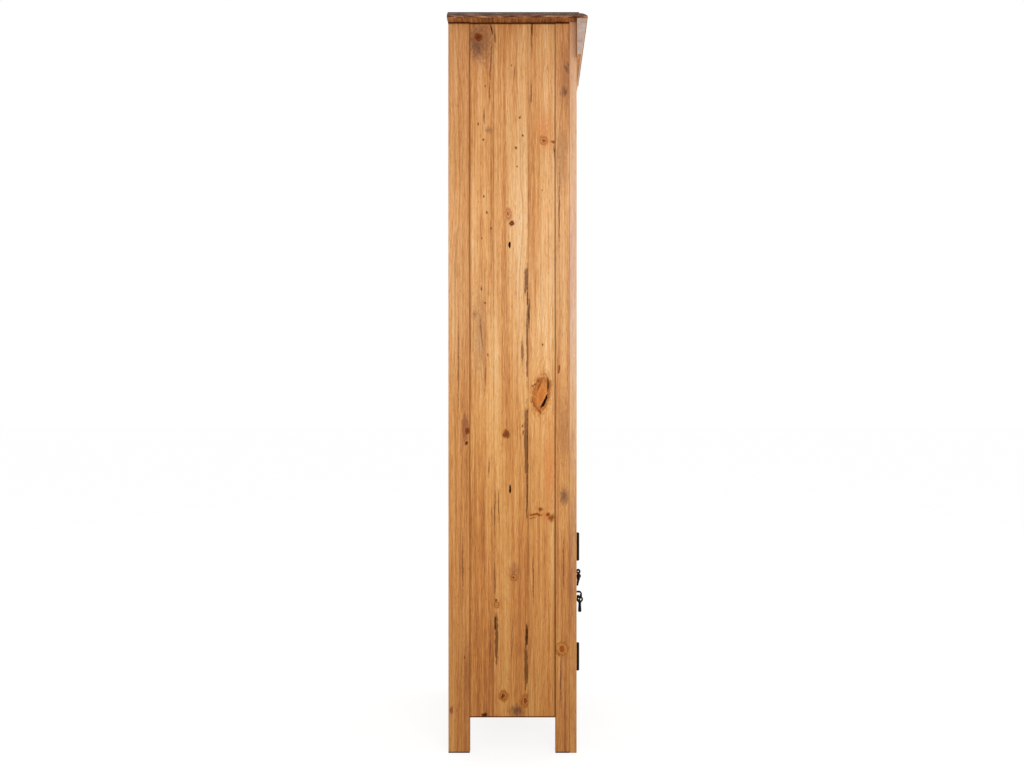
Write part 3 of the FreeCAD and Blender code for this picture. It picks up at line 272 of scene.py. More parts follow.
def pineFinish(name, board, changes):
    # Plain-sawn pine, sanded and waxed: honey bands with darker latewood lines that run with the
    # board, fine fibres, reddish knots with dark rims, a soft sheen and arrises lightened by wear and a painted
    # highlight.
    look = {**pineBasics, **changes}
    material, tree, shader, coords, place = solidMaterial(name)
    parts = addNode(tree, "SeparateXYZ", [place])
    upward = parts.outputs["Z"]
    order = board["thick"], board["width"], board["grain"]
    local = addNode(tree, "CombineXYZ", [parts.outputs[axis] for axis in order])

    # each glued board has its own piece of the pattern
    stave = 0.0
    for joint in look["staves"]:
        past = addNode(tree, "Math.GREATER_THAN", (parts.outputs[board["width"]], joint))
        stave = addNode(tree, "Math.ADD", (past, stave))
    staveStep = addNode(tree, "VectorMath.SCALE", (look["staveStep"], stave))
    seedStep = [look["seed"] * step for step in look["seedStep"]]
    own = addNode(tree, "VectorMath.ADD", (local, staveStep))
    own = addNode(tree, "VectorMath.ADD", (own, seedStep))

    halfway = (0.5, 0.5, 0.5)  # the middle of a noise's colour
    wobble = patchNoise(tree, own, look["wobblePatch"], detail=3.0)
    wobbleVector = addNode(tree, "VectorMath.SUBTRACT", (wobble.outputs[1], halfway))
    marked = addNode(tree, "VectorMath.MULTIPLY_ADD", (wobbleVector, look["markWobble"], local))
    fields, bend = markFields(tree, marked, look["marks"])

    # growth rings round a pith that wanders behind the board
    depth, aside = look["pith"]
    centre = (board["face"] + depth, board["middle"] + aside, 0)
    drift = patchNoise(tree, own, look["driftPatch"], detail=1.5)
    driftVector = addNode(tree, "VectorMath.SUBTRACT", (drift.outputs[1], halfway))
    swayed = addNode(tree, "VectorMath.MULTIPLY_ADD", (driftVector, (look["drift"], look["drift"], 0), local))
    staveTurn = addNode(tree, "VectorMath.SCALE", (look["staveTurn"], stave))
    bendVector = addNode(tree, "CombineXYZ", {1: bend})
    acrossOnly = (1, 1, 0)
    for step, way in ((staveTurn, "ADD"), (bendVector, "SUBTRACT"), (centre, "SUBTRACT"),
                      (acrossOnly, "MULTIPLY")):
        swayed = addNode(tree, "VectorMath." + way, (swayed, step))
    fromPith = addNode(tree, "VectorMath.LENGTH", [swayed])
    ripple = patchNoise(tree, own, look["ripplePatch"], detail=1.0)
    rings = addNode(tree, "Math.MULTIPLY_ADD", (fromPith, 1 / look["ringWidth"], ripple))
    years = addNode(tree, "TexNoise", {"W": rings, "Scale": look["yearScale"], "Detail": 1.0},
                    noise_dimensions="1D")
    rings = addNode(tree, "Math.MULTIPLY_ADD", (years, look["yearSway"], rings))
    phase = addNode(tree, "Math.FRACT", [rings])
    latewood = colourStops(addNode(tree, "ValToRGB", [phase]), ringStops)

    # slow tone, streaks and fibres choose among the tones of the wood; every noise is 0.5 on
    # average, so the three together keep the middle of the tones
    tone = patchNoise(tree, own, look["tonePatch"])
    streaks = patchNoise(tree, own, look["streakPatch"], detail=3.0, roughness=0.6)
    fibres = patchNoise(tree, own, look["fibrePatch"], detail=3.0, roughness=0.65)
    shares = look["toneSway"], look["streak"], look["fibre"]
    shade = 0.5 + look["toneShift"] - sum(shares) / 2
    for noise, share in zip((tone, streaks, fibres), shares):
        shade = addNode(tree, "Math.MULTIPLY_ADD", (noise, share, shade))
    for index, step in enumerate(look["staveShifts"]):
        near = addNode(tree, "Math.COMPARE", (stave, index, sameStave))
        shade = addNode(tree, "Math.MULTIPLY_ADD", (near, step, shade))
    toneRamp = colourStops(addNode(tree, "ValToRGB", [shade]), list(zip(tonePlaces, look["tones"])))
    ringFactor = addNode(tree, "Math.MULTIPLY", (latewood, look["ringStrength"]))
    colour = addNode(tree, "Mix", (ringFactor, toneRamp, linearColour(look["ringColour"])))
    # open pores of the latewood, as short dark dashes
    pores = patchNoise(tree, own, look["porePatch"], detail=1.0)
    poreMask = addNode(tree, "MapRange", (pores, *look["poreRange"], 0, look["poreStrength"]))
    colour = addNode(tree, "Mix", (poreMask, colour, linearColour(look["poreColour"])))
    height = addNode(tree, "Math.MULTIPLY", (latewood, look["ringRelief"]))
    height = addNode(tree, "Math.MULTIPLY_ADD", (fibres, look["fibreRelief"], height))

    # a knot's rings and edge are ragged
    ragged = patchNoise(tree, own, look["raggedPatch"])
    ragged = addNode(tree, "Math.MULTIPLY_ADD", (ragged, 1.0, -0.5))
    dull = 0.0  # how far wax is missing: cracks, streaks and joints hardly shine
    for kind, facts in markKinds.items():
        if kind not in fields:
            continue
        away = addNode(tree, "Math.ADD", (fields[kind], ragged))
        scaled = addNode(tree, "Math.DIVIDE", (away, markReach))
        ramp = colourStops(addNode(tree, "ValToRGB", [scaled]), facts["stops"], markReach)
        mask = addNode(tree, "MapRange.SMOOTHSTEP",
                       (away, facts["solid"], facts["fade"], facts["strength"], 0))
        colour = addNode(tree, "Mix", (mask, colour, ramp))
        if facts["relief"]:
            height = addNode(tree, "Math.MULTIPLY_ADD", (mask, -facts["relief"], height))
        if facts["relief"] is not None:
            dull = addNode(tree, "Math.MAXIMUM", (mask, dull))

    # end grain is greyer and hardly shines; rounded arrises are rubbed lighter and carry a painted highlight
    facing = addNode(tree, "VectorMath.ABSOLUTE", [coords.outputs["Normal"]])
    facing = addNode(tree, "SeparateXYZ", [facing]).outputs
    endMask = addNode(tree, "MapRange.SMOOTHSTEP", (facing[board["grain"]], *look["endFacing"]))
    dull = addNode(tree, "Math.MULTIPLY_ADD", (endMask, look["endDullness"], dull))
    grains = patchNoise(tree, own, look["endGrainPatch"])
    blotches = patchNoise(tree, own, look["endPatch"], detail=3.0)
    endShade = look["endLevel"] - look["endContrast"] / 2
    for source, share in ((blotches, "endContrast"), (latewood, "endRings"), (grains, "endGrain")):
        endShade = addNode(tree, "Math.MULTIPLY_ADD", (source, look[share], endShade))
    endStops = list(zip(look["endPlaces"], look["endTones"]))
    endColour = colourStops(addNode(tree, "ValToRGB", [endShade]), endStops)
    if "edgeShadeBands" in look:
        # painted shade on the moulded edge: darker toward its top where it faces up, with a light band at the lip:
        # height, tint
        bandFrom, bandTo = look["edgeShadeBands"][0][0], look["edgeShadeBands"][-1][0]
        rise = addNode(tree, "MapRange", (upward, bandFrom, bandTo))
        bandStops = [(level - bandFrom, tint) for level, tint in look["edgeShadeBands"]]
        edgeShade = colourStops(addNode(tree, "ValToRGB", [rise]), bandStops, bandTo - bandFrom)
        endColour = addNode(tree, "Mix.MULTIPLY", (1, endColour, edgeShade))
    colour = addNode(tree, "Mix", (endMask, colour, endColour))
    # rubbed wear and a painted highlight on faces that lean away from flat
    flat = addNode(tree, "Math.MAXIMUM", (facing[0], facing[1]))
    flat = addNode(tree, "Math.MAXIMUM", (flat, facing[2]))
    wearAndHighlight = addNode(tree, "MapRange.SMOOTHSTEP", (flat, *look["wearAndHighlightFacing"], 0, look["wearAndHighlight"]))
    colour = addNode(tree, "Mix", (wearAndHighlight, colour, linearColour(look["wearAndHighlightColour"])))

    if "paintedSideSheen" in look:
        # painted sheen: the narrow side that faces the camera is lightened toward a pale pink, less so toward the
        # foot
        axis, sheenColour, footStrength, topStrength = look["paintedSideSheen"]
        strength = addNode(tree, "MapRange", (upward, *look["sheenHeights"], footStrength, topStrength))
        sheenMask = addNode(tree, "MapRange", (facing[axis], *look["sheenFacing"], 0, strength))
        colour = addNode(tree, "Mix", (sheenMask, colour, linearColour(sheenColour)))

    # dark joints: dust in the joints, and painted shade where parts meet, under the top's overhang and at the foot
    seamDustAndShade = 0.0
    for axis, at, halfWidth, foot, top in look["seams"]:
        away = addNode(tree, "Math.SUBTRACT", (parts.outputs[axis], at))
        away = addNode(tree, "Math.ABSOLUTE", [away])
        line = addNode(tree, "MapRange.SMOOTHSTEP", (away, halfWidth * look["seamCore"], halfWidth, 1, 0))
        strength = addNode(tree, "MapRange", (upward, *look["seamHeights"], foot, top))
        along = addNode(tree, "Math.SUBTRACT", (1.0, facing[axis]))
        for share in (strength, along):
            line = addNode(tree, "Math.MULTIPLY", (line, share))
        seamDustAndShade = addNode(tree, "Math.MAXIMUM", (line, seamDustAndShade))
    if look["seams"]:
        colour = addNode(tree, "Mix", (seamDustAndShade, colour, linearColour(look["seamDustAndShadeColour"])))
        dull = addNode(tree, "Math.MAXIMUM", (seamDustAndShade, dull))

    # painted shade: the colour darkens toward the foot and a little under the top
    if look["shadedByHeight"]:
        share = addNode(tree, "Math.DIVIDE", (upward, paintedShadeReach))
        tint = colourStops(addNode(tree, "ValToRGB", [share]), paintedShadeByHeight, paintedShadeReach)
        colour = addNode(tree, "Mix.MULTIPLY", (1, colour, tint))

    fillSockets(tree, shader, {
        "Base Color": colour,
        "Roughness": addNode(tree, "MapRange", (streaks, *noiseRange, *look["roughness"])),
        "Specular IOR Level": addNode(tree, "MapRange", (dull, 0, 1, *look["gloss"])),
        "Normal": addNode(tree, "Bump", {"Height": height, "Distance": look["bumpDepth"] * mm,
                                         "Strength": look["bumpStrength"]})})
    return material


def boardShape(node, **fixed):
    # the grain runs along a board's longest side unless the settings say otherwise
    low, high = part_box(node)
    span = high - low
    byLength = sorted(range(3), key=lambda axis: span[axis])
    board = {name: axisNames[axis] for name, axis in zip(("thick", "width", "grain"), byLength)}
    board.update(fixed)
    thick, width = (axisNames.index(board[name]) for name in ("thick", "width"))
    board["face"] = high[thick] / mm
    board["middle"] = (low[width] + high[width]) / 2 / mm
    board["low"] = [value / mm for value in low]
    board["high"] = [value / mm for value in high]
    return board


strewnMarks = {
    # ranges of radius, stretch and lean
    "knot": ((4, 10), (1.0, 1.7), (-14, 14)),
    "pin": ((1.0, 1.8), (1.0, 1.8), (-10, 10)),
    "line": ((1.0, 1.6), (14, 40), (-2, 2)),
    "clear": {"pin": 3, "line": 4},  # of the board's edge
    "widest": 0.22,  # a knot's radius, in widths of the board
    "glow": (3.5, 2.2),  # round a knot: its radius in knots, and its stretch
}


def scatterMarks(board, seed, knots, pins):
    # knots, pin knots and short streaks strewn over a board
    draw = random.Random(seed)
    width, grain = (axisNames.index(board[name]) for name in ("width", "grain"))
    span = board["high"][width] - board["low"][width]
    marks = {}

    def spot(edge):
        return [draw.uniform(board["low"][axis] + edge, board["high"][axis] - edge)
                for axis in (width, grain)]

    def add(kind, *facts):
        marks.setdefault(kind, []).append(facts)

    size, *form = strewnMarks["knot"]
    glowSize, glowStretch = strewnMarks["glow"]
    for number in range(knots):
        kind = draw.choice(("knot", "redKnot", "redKnot", "paleKnot"))
        radius = min(draw.uniform(*size), span * strewnMarks["widest"])
        middle = spot(radius)
        add(kind, *middle, radius, *(draw.uniform(*ends) for ends in form))
        add("glow", *middle, radius * glowSize, glowStretch)
    for kind, count in (("pin", pins), ("line", max(1, pins // 2))):
        for number in range(count):
            place = spot(strewnMarks["clear"][kind])
            add(kind, *place, *(draw.uniform(*ends) for ends in strewnMarks[kind]))
    return marks


# The near side as the photograph shows it. Each mark has its distance behind the front of the
# face frame, its height, its radius, how long it is for its width and, if any, its lean.
backStaveMarks = {
    "streak": [(196, 1664, 3.6, 4.5, -12), (212, 86, 8, 0.8)],
    "redKnot": [(226, 1645, 7.5, 1.3, -15)],
    "bruise": [(230, 1634, 24, 1.9)],
    "halo": [(220, 1630, 36, 1.7), (202, 1431, 14, 0.8), (234, 1009, 8, 1.6)],
    "shade": [(214, 1645, 40, 2.0), (222, 960, 22, 7)],
    "line": [(197, 1590, 2.8, 24, 3), (200, 1519, 2.2, 16, 1), (212, 1464, 2.8, 8), (220, 970, 2.4, 20, -6),
             (202, 658, 1.8, 14), (210, 865, 1.5, 34, 1), (199, 250, 1.3, 70, 1)],
    "pin": [(210, 1532, 1.7, 1.5, 20), (226, 1447, 1.6, 2.4), (215, 1411, 2, 1.2), (213, 1280, 2, 1.6),
            (207, 1243, 1.8, 2), (197, 1207, 1.8, 1.6), (218, 1184, 1.6, 2), (219, 1069, 1.8, 3),
            (211, 1035, 2.2, 1.2), (204, 916, 1.8, 2)],
}
middleStaveMarks = {
    "line": [(189, 1650, 4, 8, -4), (143, 1560, 1.9, 11, 7), (125, 922, 4.5, 8, 1), (188, 560, 1.9, 32, 2),
             (179, 560, 1.9, 32, -2), (188, 397, 2.2, 24), (149, 250, 1.3, 40, 2)],
    "pin": [(150, 1580, 1.6, 1.4, 30), (131, 1460, 2.3, 1.2), (124, 1418, 2.4, 1.4, -20),
            (140, 1391, 2.2, 1.2), (137, 1348, 2.0, 1.4), (124.5, 752, 2.4, 1.6), (123, 737, 1.8, 3),
            (164, 730, 2.2, 1.3), (145, 404, 1.9, 1.2), (185, 352, 2.6, 1.3), (171, 128, 2.6, 2.2, 8)],
    "eyeKnot": [(158, 1240, 6, 1.7, -8), (168, 130, 8, 1.25), (118, 119, 8.5, 1.5, 12)],
    "knot": [(149, 1218, 4.4, 1.15)],
    "crack": [(154, 1169, 2.7, 2.6, 4), (153, 606, 2.6, 3.4)],
    "glue": [(116, 1090, 5.6, 7, 3), (114, 940, 2.6, 38), (114.6, 590, 2.2, 26), (116, 716, 5.4, 19),
             (184.5, 262, 4.2, 16), (116.5, 196, 4.8, 12.5)],
    "streak": [(113.2, 1048, 1.9, 18), (112.8, 680, 1.1, 130), (188, 297, 2.4, 12), (115, 272, 3.8, 8.5)],
    "redKnot": [(162, 733, 7, 1.15)],
    "halo": [(144, 412, 15, 2.2)],
    "paleKnot": [(144, 403, 7, 1.1), (184, 341, 5, 1.5, 10)],
    "bruise": [(138, 96, 22, 0.9)],
}
frontStaveMarks = {
    "streak": [(103, 1664, 2.8, 9), (52, 1385, 1.8, 9, -4), (109, 1012, 2.4, 18, 1)],
    "line": [(103, 1629, 2.2, 16), (105, 1516, 2.4, 16), (86, 846, 3, 8, 20), (100, 400, 1.8, 40)],
    "glow": [(74, 1425, 30, 2.6), (62, 660, 20, 9), (55, 640, 10, 14), (72, 545, 18, 1.2)],
    "eyeKnot": [(76, 1408, 7.0, 1.1)],
    "scar": [(55, 1405, 5.5, 0.9), (89, 857, 4.0, 1.6, 20), (97, 847, 2.2, 5.0, 50), (96, 800, 1.8, 10, -30),
             (84, 783, 4, 2.0, -20), (84, 560, 7.5, 0.8), (94, 548, 18, 0.22, 4), (58, 541, 9, 1.2, 30),
             (100, 541, 12, 0.14, -2), (66, 549, 8, 0.7, 40)],
    "pin": [(80, 1293, 1.8, 1.2), (78, 940, 2.2, 1.2)],
    "split": [(66, 846, 3.0, 6.5, 2)],
    "amber": [(81, 826, 20, 2.15, 9)],
    "crack": [(74.5, 808, 2.8, 6.5, 26)],
}
backStileMarks = {
    "redPatch": [(256, 748, 10, 3.6), (288, 99, 5, 2.2)],
    "redKnot": [(251, 742, 4.5, 1.6)],
    "streak": [(253, 713, 4.5, 1.4)],
    "scar": [(257, 218, 2.2, 2.0), (256, 206, 1.6, 1.2)],
    "line": [(272, 900, 2, 70), (262, 430, 2, 50)],
    "shade": [(250, 180, 14, 8)],
}
sideStileMarks = {
    "shade": [(25, 1550, 22, 5.0), (34, 1370, 16, 7), (30, 740, 14, 9)],
    "bruise": [(23, 1573, 9, 1.9, -12), (27, 1519, 12, 1.4), (28, 590, 15, 1.9)],
    "line": [(20, 1584, 2.0, 6, -28), (24, 1514, 2.6, 4, 12), (40, 1250, 2, 60), (30, 430, 2, 50),
             (37, 160, 2, 30)],
    "scar": [(41, 883, 4.6, 2.0)],
    "pin": [(39.5, 889, 1.7, 1.4, 40), (42, 876, 1.7, 1.6, 30)],
    "ringedKnot": [(34, 239, 14, 1.15)],
}

# Dark joints, partly dust and partly painted shade where the panel sits back from the stiles: which edge across
# the board, half width, strength
nearSide = {
    "left_back_stile": {"seed": 5, "marks": backStileMarks, "pith": (-60, 60),
                        "edges": [("low", 1.9, 0.5, 0.9)]},
    "left_side_stile": {"seed": 6, "marks": sideStileMarks, "pith": (-50, -55),
                        "edges": [("low", 1.4, 0.3, 0.5), ("high", 2.0, 1.0, 0.5)]},
    # the painted sheen is on the side that faces the camera: axis, colour, strength low down and high up
    "left_face_stile": {"seed": 7, "paintedSideSheen": ("X", "#EFDCCB", 0.1, 0.36),
                        "sideEdge": ("Y", "high", 1.4, 0.25, 0.45)},
}
sidePanel = {
    "joints": (112, 190),  # behind the front of the face frame
    "tones": ["#A8642A", "#D3924E", "#E4A865", "#EFBC7E", "#F8D2A0"],
    "staves": {
        "leftPanelFrontStave": {"seed": 3, "marks": frontStaveMarks, "pith": (-60, 95), "toneShift": 0.04,
                                "edges": [("low", 2.8, 1.0, 0.7), ("high", 1.4, 0.55, 0.5)]},
        "leftPanelMiddleStave": {"seed": 14, "marks": middleStaveMarks, "pith": (-50, -85), "toneShift": 0.1,
                                 "edges": [("low", 1.2, 0.45, 0.4), ("high", 1.0, 0.3, 0.3)]},
        "leftPanelBackStave": {"seed": 25, "marks": backStaveMarks, "pith": (-70, 100), "toneShift": -0.06,
                               "edges": [("low", 1.0, 0.3, 0.3), ("high", 2.2, 0.55, 1.0)]},
    },
}
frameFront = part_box("left_face_stile")[0].y / mm


def knotWeight(span):
    # about one knot for each 30 000 square millimetres of face
    return max(1, round(span[1] * span[2] / 30000))


boardChanges = {
    "top_board": {"seed": 41, "tones": ["#704322", "#A36C3F", "#C0854F", "#D69C63", "#E8B27C"],
                  "streak": 2.0, "fibre": 2.2,
                  "endTones": ["#3B1D14", "#824F32", "#DAAD8C"], "endPatch": (2.0, 30, 22),
                  "endContrast": 2.6,
                  # painted shade on the moulded edge: height, tint
                  "edgeShadeBands": [(1679, "#FFFFFF"), (1684, "#FFFFFF"), (1686, "#D6CFCC"), (1688.5, "#9C8F8A"),
                               (1691.5, "#FFFCFA"), (1695, "#7A6860"), (1699, "#55433A")],
                  "wearAndHighlight": 0.04},
    "crown_moulding": {"seed": 42, "shadedByHeight": False, "endTones": ["#9C8576", "#B59D90", "#C4ADA1"]},
    "back_boards": {"staves": [-121, -40, 40, 121], "staveShifts": [0.1, -0.12, 0.04, -0.06, 0.12],
                    "seams": [("X", joint, 1.1, 0.8, 0.8) for joint in (-121, -40, 40, 121)]},
    "door_panel": {"staves": [-30, 52], "staveShifts": [0.08, -0.1, 0.04],
                   "seams": [("X", joint, 0.9, 0.35, 0.35) for joint in (-30, 52)]
                            + [("X", joint, 2.2, 0.8, 0.8) for joint in (-123, 123)]
                            + [("Z", joint, 2.2, 0.8, 0.8) for joint in (166, 510)]},
    "right_side_panel": {"pith": (95, 10), "staves": [frameFront + joint for joint in sidePanel["joints"]],
                         "staveShifts": [-0.1, 0.08, 0.02], "edges": [],
                         "seams": [("Y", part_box("right_side_stile")[1].y / mm, 2.4, 0.9, 0.7),
                                   ("Y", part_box("right_back_stile")[0].y / mm, 2.2, 0.6, 0.9)]},
}
cleatShape = {"thick": "X", "width": "Z", "grain": "Y"}
mostKnots = 7  # on one board
endShadeSeams = {"low": 4.0, "high": 6.0}  # half widths of the painted shade where an outside board meets the floor and under the top


def boardSeams(board, look):
    # dark lines along the long edges, of dust and painted shade, and painted shade at the ends of an outside board
    width = board["width"]
    axis = axisNames.index(width)
    seams = list(look.get("seams", []))
    for edge, *facts in look.get("edges", []):
        seams.append((width, board[edge][axis], *facts))
    if "sideEdge" in look:
        across, edge, *facts = look["sideEdge"]
        seams.append((across, board[edge][axisNames.index(across)], *facts))
    if "marks" in look and board["grain"] == "Z" and "edges" in look:
        seams += [("Z", board[end][2], halfWidth, 1.0, 1.0) for end, halfWidth in endShadeSeams.items()]
    return seams


def nearMarks(marks):
    # from behind the front of the face frame to the frame's own Y
    return {kind: [(frameFront + behind, *rest) for behind, *rest in places]
            for kind, places in marks.items()}


def setMode(mode):
    bpy.ops.object.mode_set(mode=mode)


def pickOnly(piece):
    bpy.ops.object.select_all(action="DESELECT")
    piece.select_set(True)
    bpy.context.view_layer.objects.active = piece


def startFacePick(piece):
    # nothing selected, and faces are what gets picked
    pickOnly(piece)
    setMode("EDIT")
    bpy.ops.mesh.select_mode(type="FACE")
    bpy.ops.mesh.select_all(action="DESELECT")
    setMode("OBJECT")


def copyNode(node, name):
    # a copy of a CAD mesh, on no body yet, to be worked on
    piece = bpy.data.objects.new(name, frame["nodes"][node].data.copy())
    bpy.context.scene.collection.objects.link(piece)
    return piece


def splitSidePanel(node="left_side_panel"):
    # the panel's three glued staves, each a piece of its own
    low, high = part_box(node)
    cuts = [low.y / mm - 1] + [frameFront + joint for joint in sidePanel["joints"]] + [high.y / mm + 1]
    # the stiles hide the panel's outer edges
    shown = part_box("left_side_stile")[1].y / mm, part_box("left_back_stile")[0].y / mm
    for (name, facts), near, far in zip(sidePanel["staves"].items(), cuts, cuts[1:]):
        stave = copyNode(node, name)
        startFacePick(stave)
        for face in stave.data.polygons:
            inside = face.center.y / mm - face.normal.y * 0.1  # a face belongs to the wood behind it
            face.select = not near < inside < far
        setMode("EDIT")
        bpy.ops.mesh.delete(type="FACE")
        bpy.ops.mesh.select_all(action="SELECT")
        bpy.ops.mesh.remove_doubles(threshold=weldReach)
        setMode("OBJECT")
        board = boardShape(node)
        board["low"][1], board["high"][1] = max(near, shown[0]), min(far, shown[1])
        board["middle"] = (board["low"][1] + board["high"][1]) / 2
        look = {**facts, "tones": sidePanel["tones"], "marks": nearMarks(facts["marks"])}
        look["seams"] = boardSeams(board, look)
        stave.data.materials.clear()
        stave.data.materials.append(pineFinish("waxedPine_" + name, board, look))
        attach(stave, "carcase")
        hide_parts(node)


def dressBoards():
    woodNodes = sorted(name for name, item in frame["nodes"].items()
                       if any(slot.material and "pine" in slot.material.name for slot in item.material_slots))
    for number, name in enumerate(woodNodes):
        if name == "left_side_panel":
            continue
        board = boardShape(name, **(cleatShape if name.endswith("cleats") else {}))
        look = {"seed": 60 + number * 1.7}
        if name in nearSide:
            look.update(nearSide[name])
            look["marks"] = nearMarks(look.get("marks", {}))
        else:
            span = sorted(high - low for low, high in zip(board["low"], board["high"]))
            knots = min(knotWeight(span), mostKnots)
            look["marks"] = scatterMarks(board, number + 11, knots, round(knots * 1.2))
            look["toneShift"] = random.Random(number).uniform(-0.12, 0.12)
            look.update(boardChanges.get(name, {}))
        look["seams"] = boardSeams(board, look)
        material = pineFinish("waxedPine_" + name, board, look)
        for slot in frame["nodes"][name].material_slots:
            slot.material = material
    print(len(woodNodes), "boards dressed")
    return woodNodes


woodNodes = dressBoards()
splitSidePanel()
print("side panel split")


# Iron, steel and beech

def plainFinish(name, patch, stops, detail=3.0, roughness=None, pebble=None, **sockets):
    # clouds of that size choose the colour and the roughness; pebble is the grain of a sand casting
    material, tree, shader, coords, place = solidMaterial(name, **sockets)
    cloud = patchNoise(tree, place, patch, detail)
    links = {"Base Color": colourStops(addNode(tree, "ValToRGB", [cloud]), stops)}
    if roughness:
        links["Roughness"] = addNode(tree, "MapRange", (cloud, *noiseRange, *roughness))
    if pebble:
        size, depth, strength = pebble
        grit = patchNoise(tree, place, (size, size, size), detail=3.0)
        links["Normal"] = addNode(tree, "Bump", {"Height": grit, "Distance": depth * mm,
                                                 "Strength": strength})
    fillSockets(tree, shader, links)
    return material


# Cast iron under satin black lacquer: almost black, faintly brown where it is rubbed, with a soft
# grey sheen and the fine pebble of a sand casting.
iron = plainFinish("blackLacqueredIron", (6, 6, 6), [(0.3, "#070504"), (0.55, "#0C0908"), (0.8, "#1C130E")],
                   roughness=(0.38, 0.55), pebble=(0.7, 0.12, 0.5), Specular_IOR_Level=0.13)
# Zinc-plated steel screws: pale grey metal with faint turning marks and a little dullness.
steel = plainFinish("zincPlatedSteel", (2, 2, 2), [(0.3, "#A5A39B"), (0.7, "#C9C6BC")],
                    roughness=(0.25, 0.45), Metallic=1.0)
# Beech dowels: pale pinkish hardwood with short dark flecks.
beech = plainFinish("beechDowel", (3.0, 0.5, 0.5), [(0.3, "#B98C66"), (0.5, "#D3AC84"), (0.8, "#DDBB96")],
                    detail=2.0, Roughness=0.6)


def dressFittings():
    for name, item in frame["nodes"].items():
        if name in woodNodes:
            continue
        for slot in item.material_slots:
            kind = slot.material.name if slot.material else ""
            slot.material = beech if "beech" in kind else steel if "steel" in kind else iron


dressFittings()
print("fittings dressed")


# Modelled fittings

bodyOf = {node: body for body, nodes in frame["record"]["behaviour"]["bodies"].items() for node in nodes}
turnPlaces = {joint["name"]: Vector(joint["pos_m"]) for joint in frame["joints"]}
outward = Vector((0, -1, 0))  # from the door to the room
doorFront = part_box("door_free_stile")[0].y


def setPlace(piece):
    # the place goes into the mesh, so the object sits at the origin
    pickOnly(piece)
    bpy.ops.object.transform_apply(location=True, rotation=True, scale=True)
    return piece


def editMesh(pick="SELECT"):
    setMode("EDIT")
    bpy.ops.mesh.select_all(action=pick)


def extrude(step):
    bpy.ops.mesh.extrude_region_move(TRANSFORM_OT_translate={"value": tuple(step)})


def closeMesh():
    # doubles welded and all faces turned outward
    bpy.ops.mesh.select_all(action="SELECT")
    bpy.ops.mesh.remove_doubles(threshold=weldReach)
    bpy.ops.mesh.normals_make_consistent(inside=False)
    setMode("OBJECT")


def turnShape(profile, foot, toward, sides=48):
    # a turned shape: a disc extruded and resized from one height and radius to the next
    toward = Vector(toward).normalized()
    foot = Vector(foot)
    bpy.ops.mesh.primitive_circle_add(
        vertices=sides, radius=profile[0][1] * mm, fill_type="NGON",
        location=foot + toward * profile[0][0] * mm, rotation=toward.to_track_quat("Z", "Y").to_euler())
    shape = setPlace(bpy.context.object)
    editMesh()
    for (lastHeight, lastRadius), (height, radius) in zip(profile, profile[1:]):
        extrude(toward * (height - lastHeight) * mm)
        bpy.ops.transform.resize(value=[radius / lastRadius] * 3, center_override=foot + toward * height * mm)
    closeMesh()
    bpy.ops.object.shade_smooth_by_angle(angle=math.radians(35))
    return shape


def addBlock(low, high):
    centre = (Vector(low) + Vector(high)) / 2
    bpy.ops.mesh.primitive_cube_add(size=1, location=centre, scale=Vector(high) - Vector(low))
    return setPlace(bpy.context.object)


def addRing(centre, radius, wire, stretch=1.0):
    # a ring whose hole looks sideways
    bpy.ops.mesh.primitive_torus_add(
        location=centre, rotation=(0, math.radians(90), 0), major_radius=radius * mm,
        minor_radius=wire * mm, major_segments=48, minor_segments=16)
    ring = setPlace(bpy.context.object)
    editMesh()
    bpy.ops.transform.resize(value=(1, 1, stretch), center_override=centre)
    setMode("OBJECT")
    return ring


def addBall(centre, radius, segments=32, rings=16, scale=(1, 1, 1)):
    bpy.ops.mesh.primitive_uv_sphere_add(segments=segments, ring_count=rings, radius=radius * mm,
                                         location=centre, scale=scale)
    return setPlace(bpy.context.object)


def joinShapes(name, shapes):
    bpy.ops.object.select_all(action="DESELECT")
    for shape in shapes:
        shape.select_set(True)
    bpy.context.view_layer.objects.active = shapes[0]
    bpy.ops.object.join()
    shapes[0].name = shapes[0].data.name = name
    return shapes[0]


def applyModifier(piece, kind, **settings):
    pickOnly(piece)
    modifier = piece.modifiers.new(kind, kind)
    for key, value in settings.items():
        setattr(modifier, key, value)
    bpy.ops.object.modifier_apply(modifier=modifier.name)


def castShape(piece, grain, rounds):
    # the parts of a casting run into each other with small fillets
    applyModifier(piece, "REMESH", mode="VOXEL", voxel_size=grain * mm)
    applyModifier(piece, "SMOOTH", factor=0.5, iterations=rounds)
    bpy.ops.object.shade_smooth()


def standFor(piece, name, node, material=iron):
    piece.name = piece.data.name = name
    piece.data.materials.clear()
    piece.data.materials.append(material)
    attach(piece, bodyOf[node])
    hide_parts(node)


roseShape = {
    # height above the door and radius: a rolled rim, a shallow dish and a raised collar
    "profile": [(0, 11.6), (0.5, 12), (1.2, 12), (1.8, 11.5), (1.9, 10.8), (1.3, 9.8), (1.1, 8.4),
                (1.6, 7.4), (2.7, 6.6), (3.0, 5.8)],
}
leverShape = {
    "ballRadius": 6.5,
    "neck": [(0, 5.4), (1.0, 5.4), (1.8, 4.5), (5, 3.8), (11, 3.8), (13, 4.7), (14.5, 4.4), (17, 4.2)],
    "ringRadius": 3.9, "ringWire": 2.6, "ringStretch": 1.13, "ringSetBack": 1.2,
    "beadRadius": 3.0, "beadRise": 6.6,
    "tailRoot": 3.0, "tailEnd": (18, 24),  # in front of the door and below the ball
    "tail": [(0, 3.8), (2.6, 3.7), (3.6, 4.6), (4.8, 4.6), (5.8, 3.8), (13, 3.1), (20.6, 2.2)],
    "tipRadius": 2.5,
    "grain": 0.4, "rounds": 4,
}


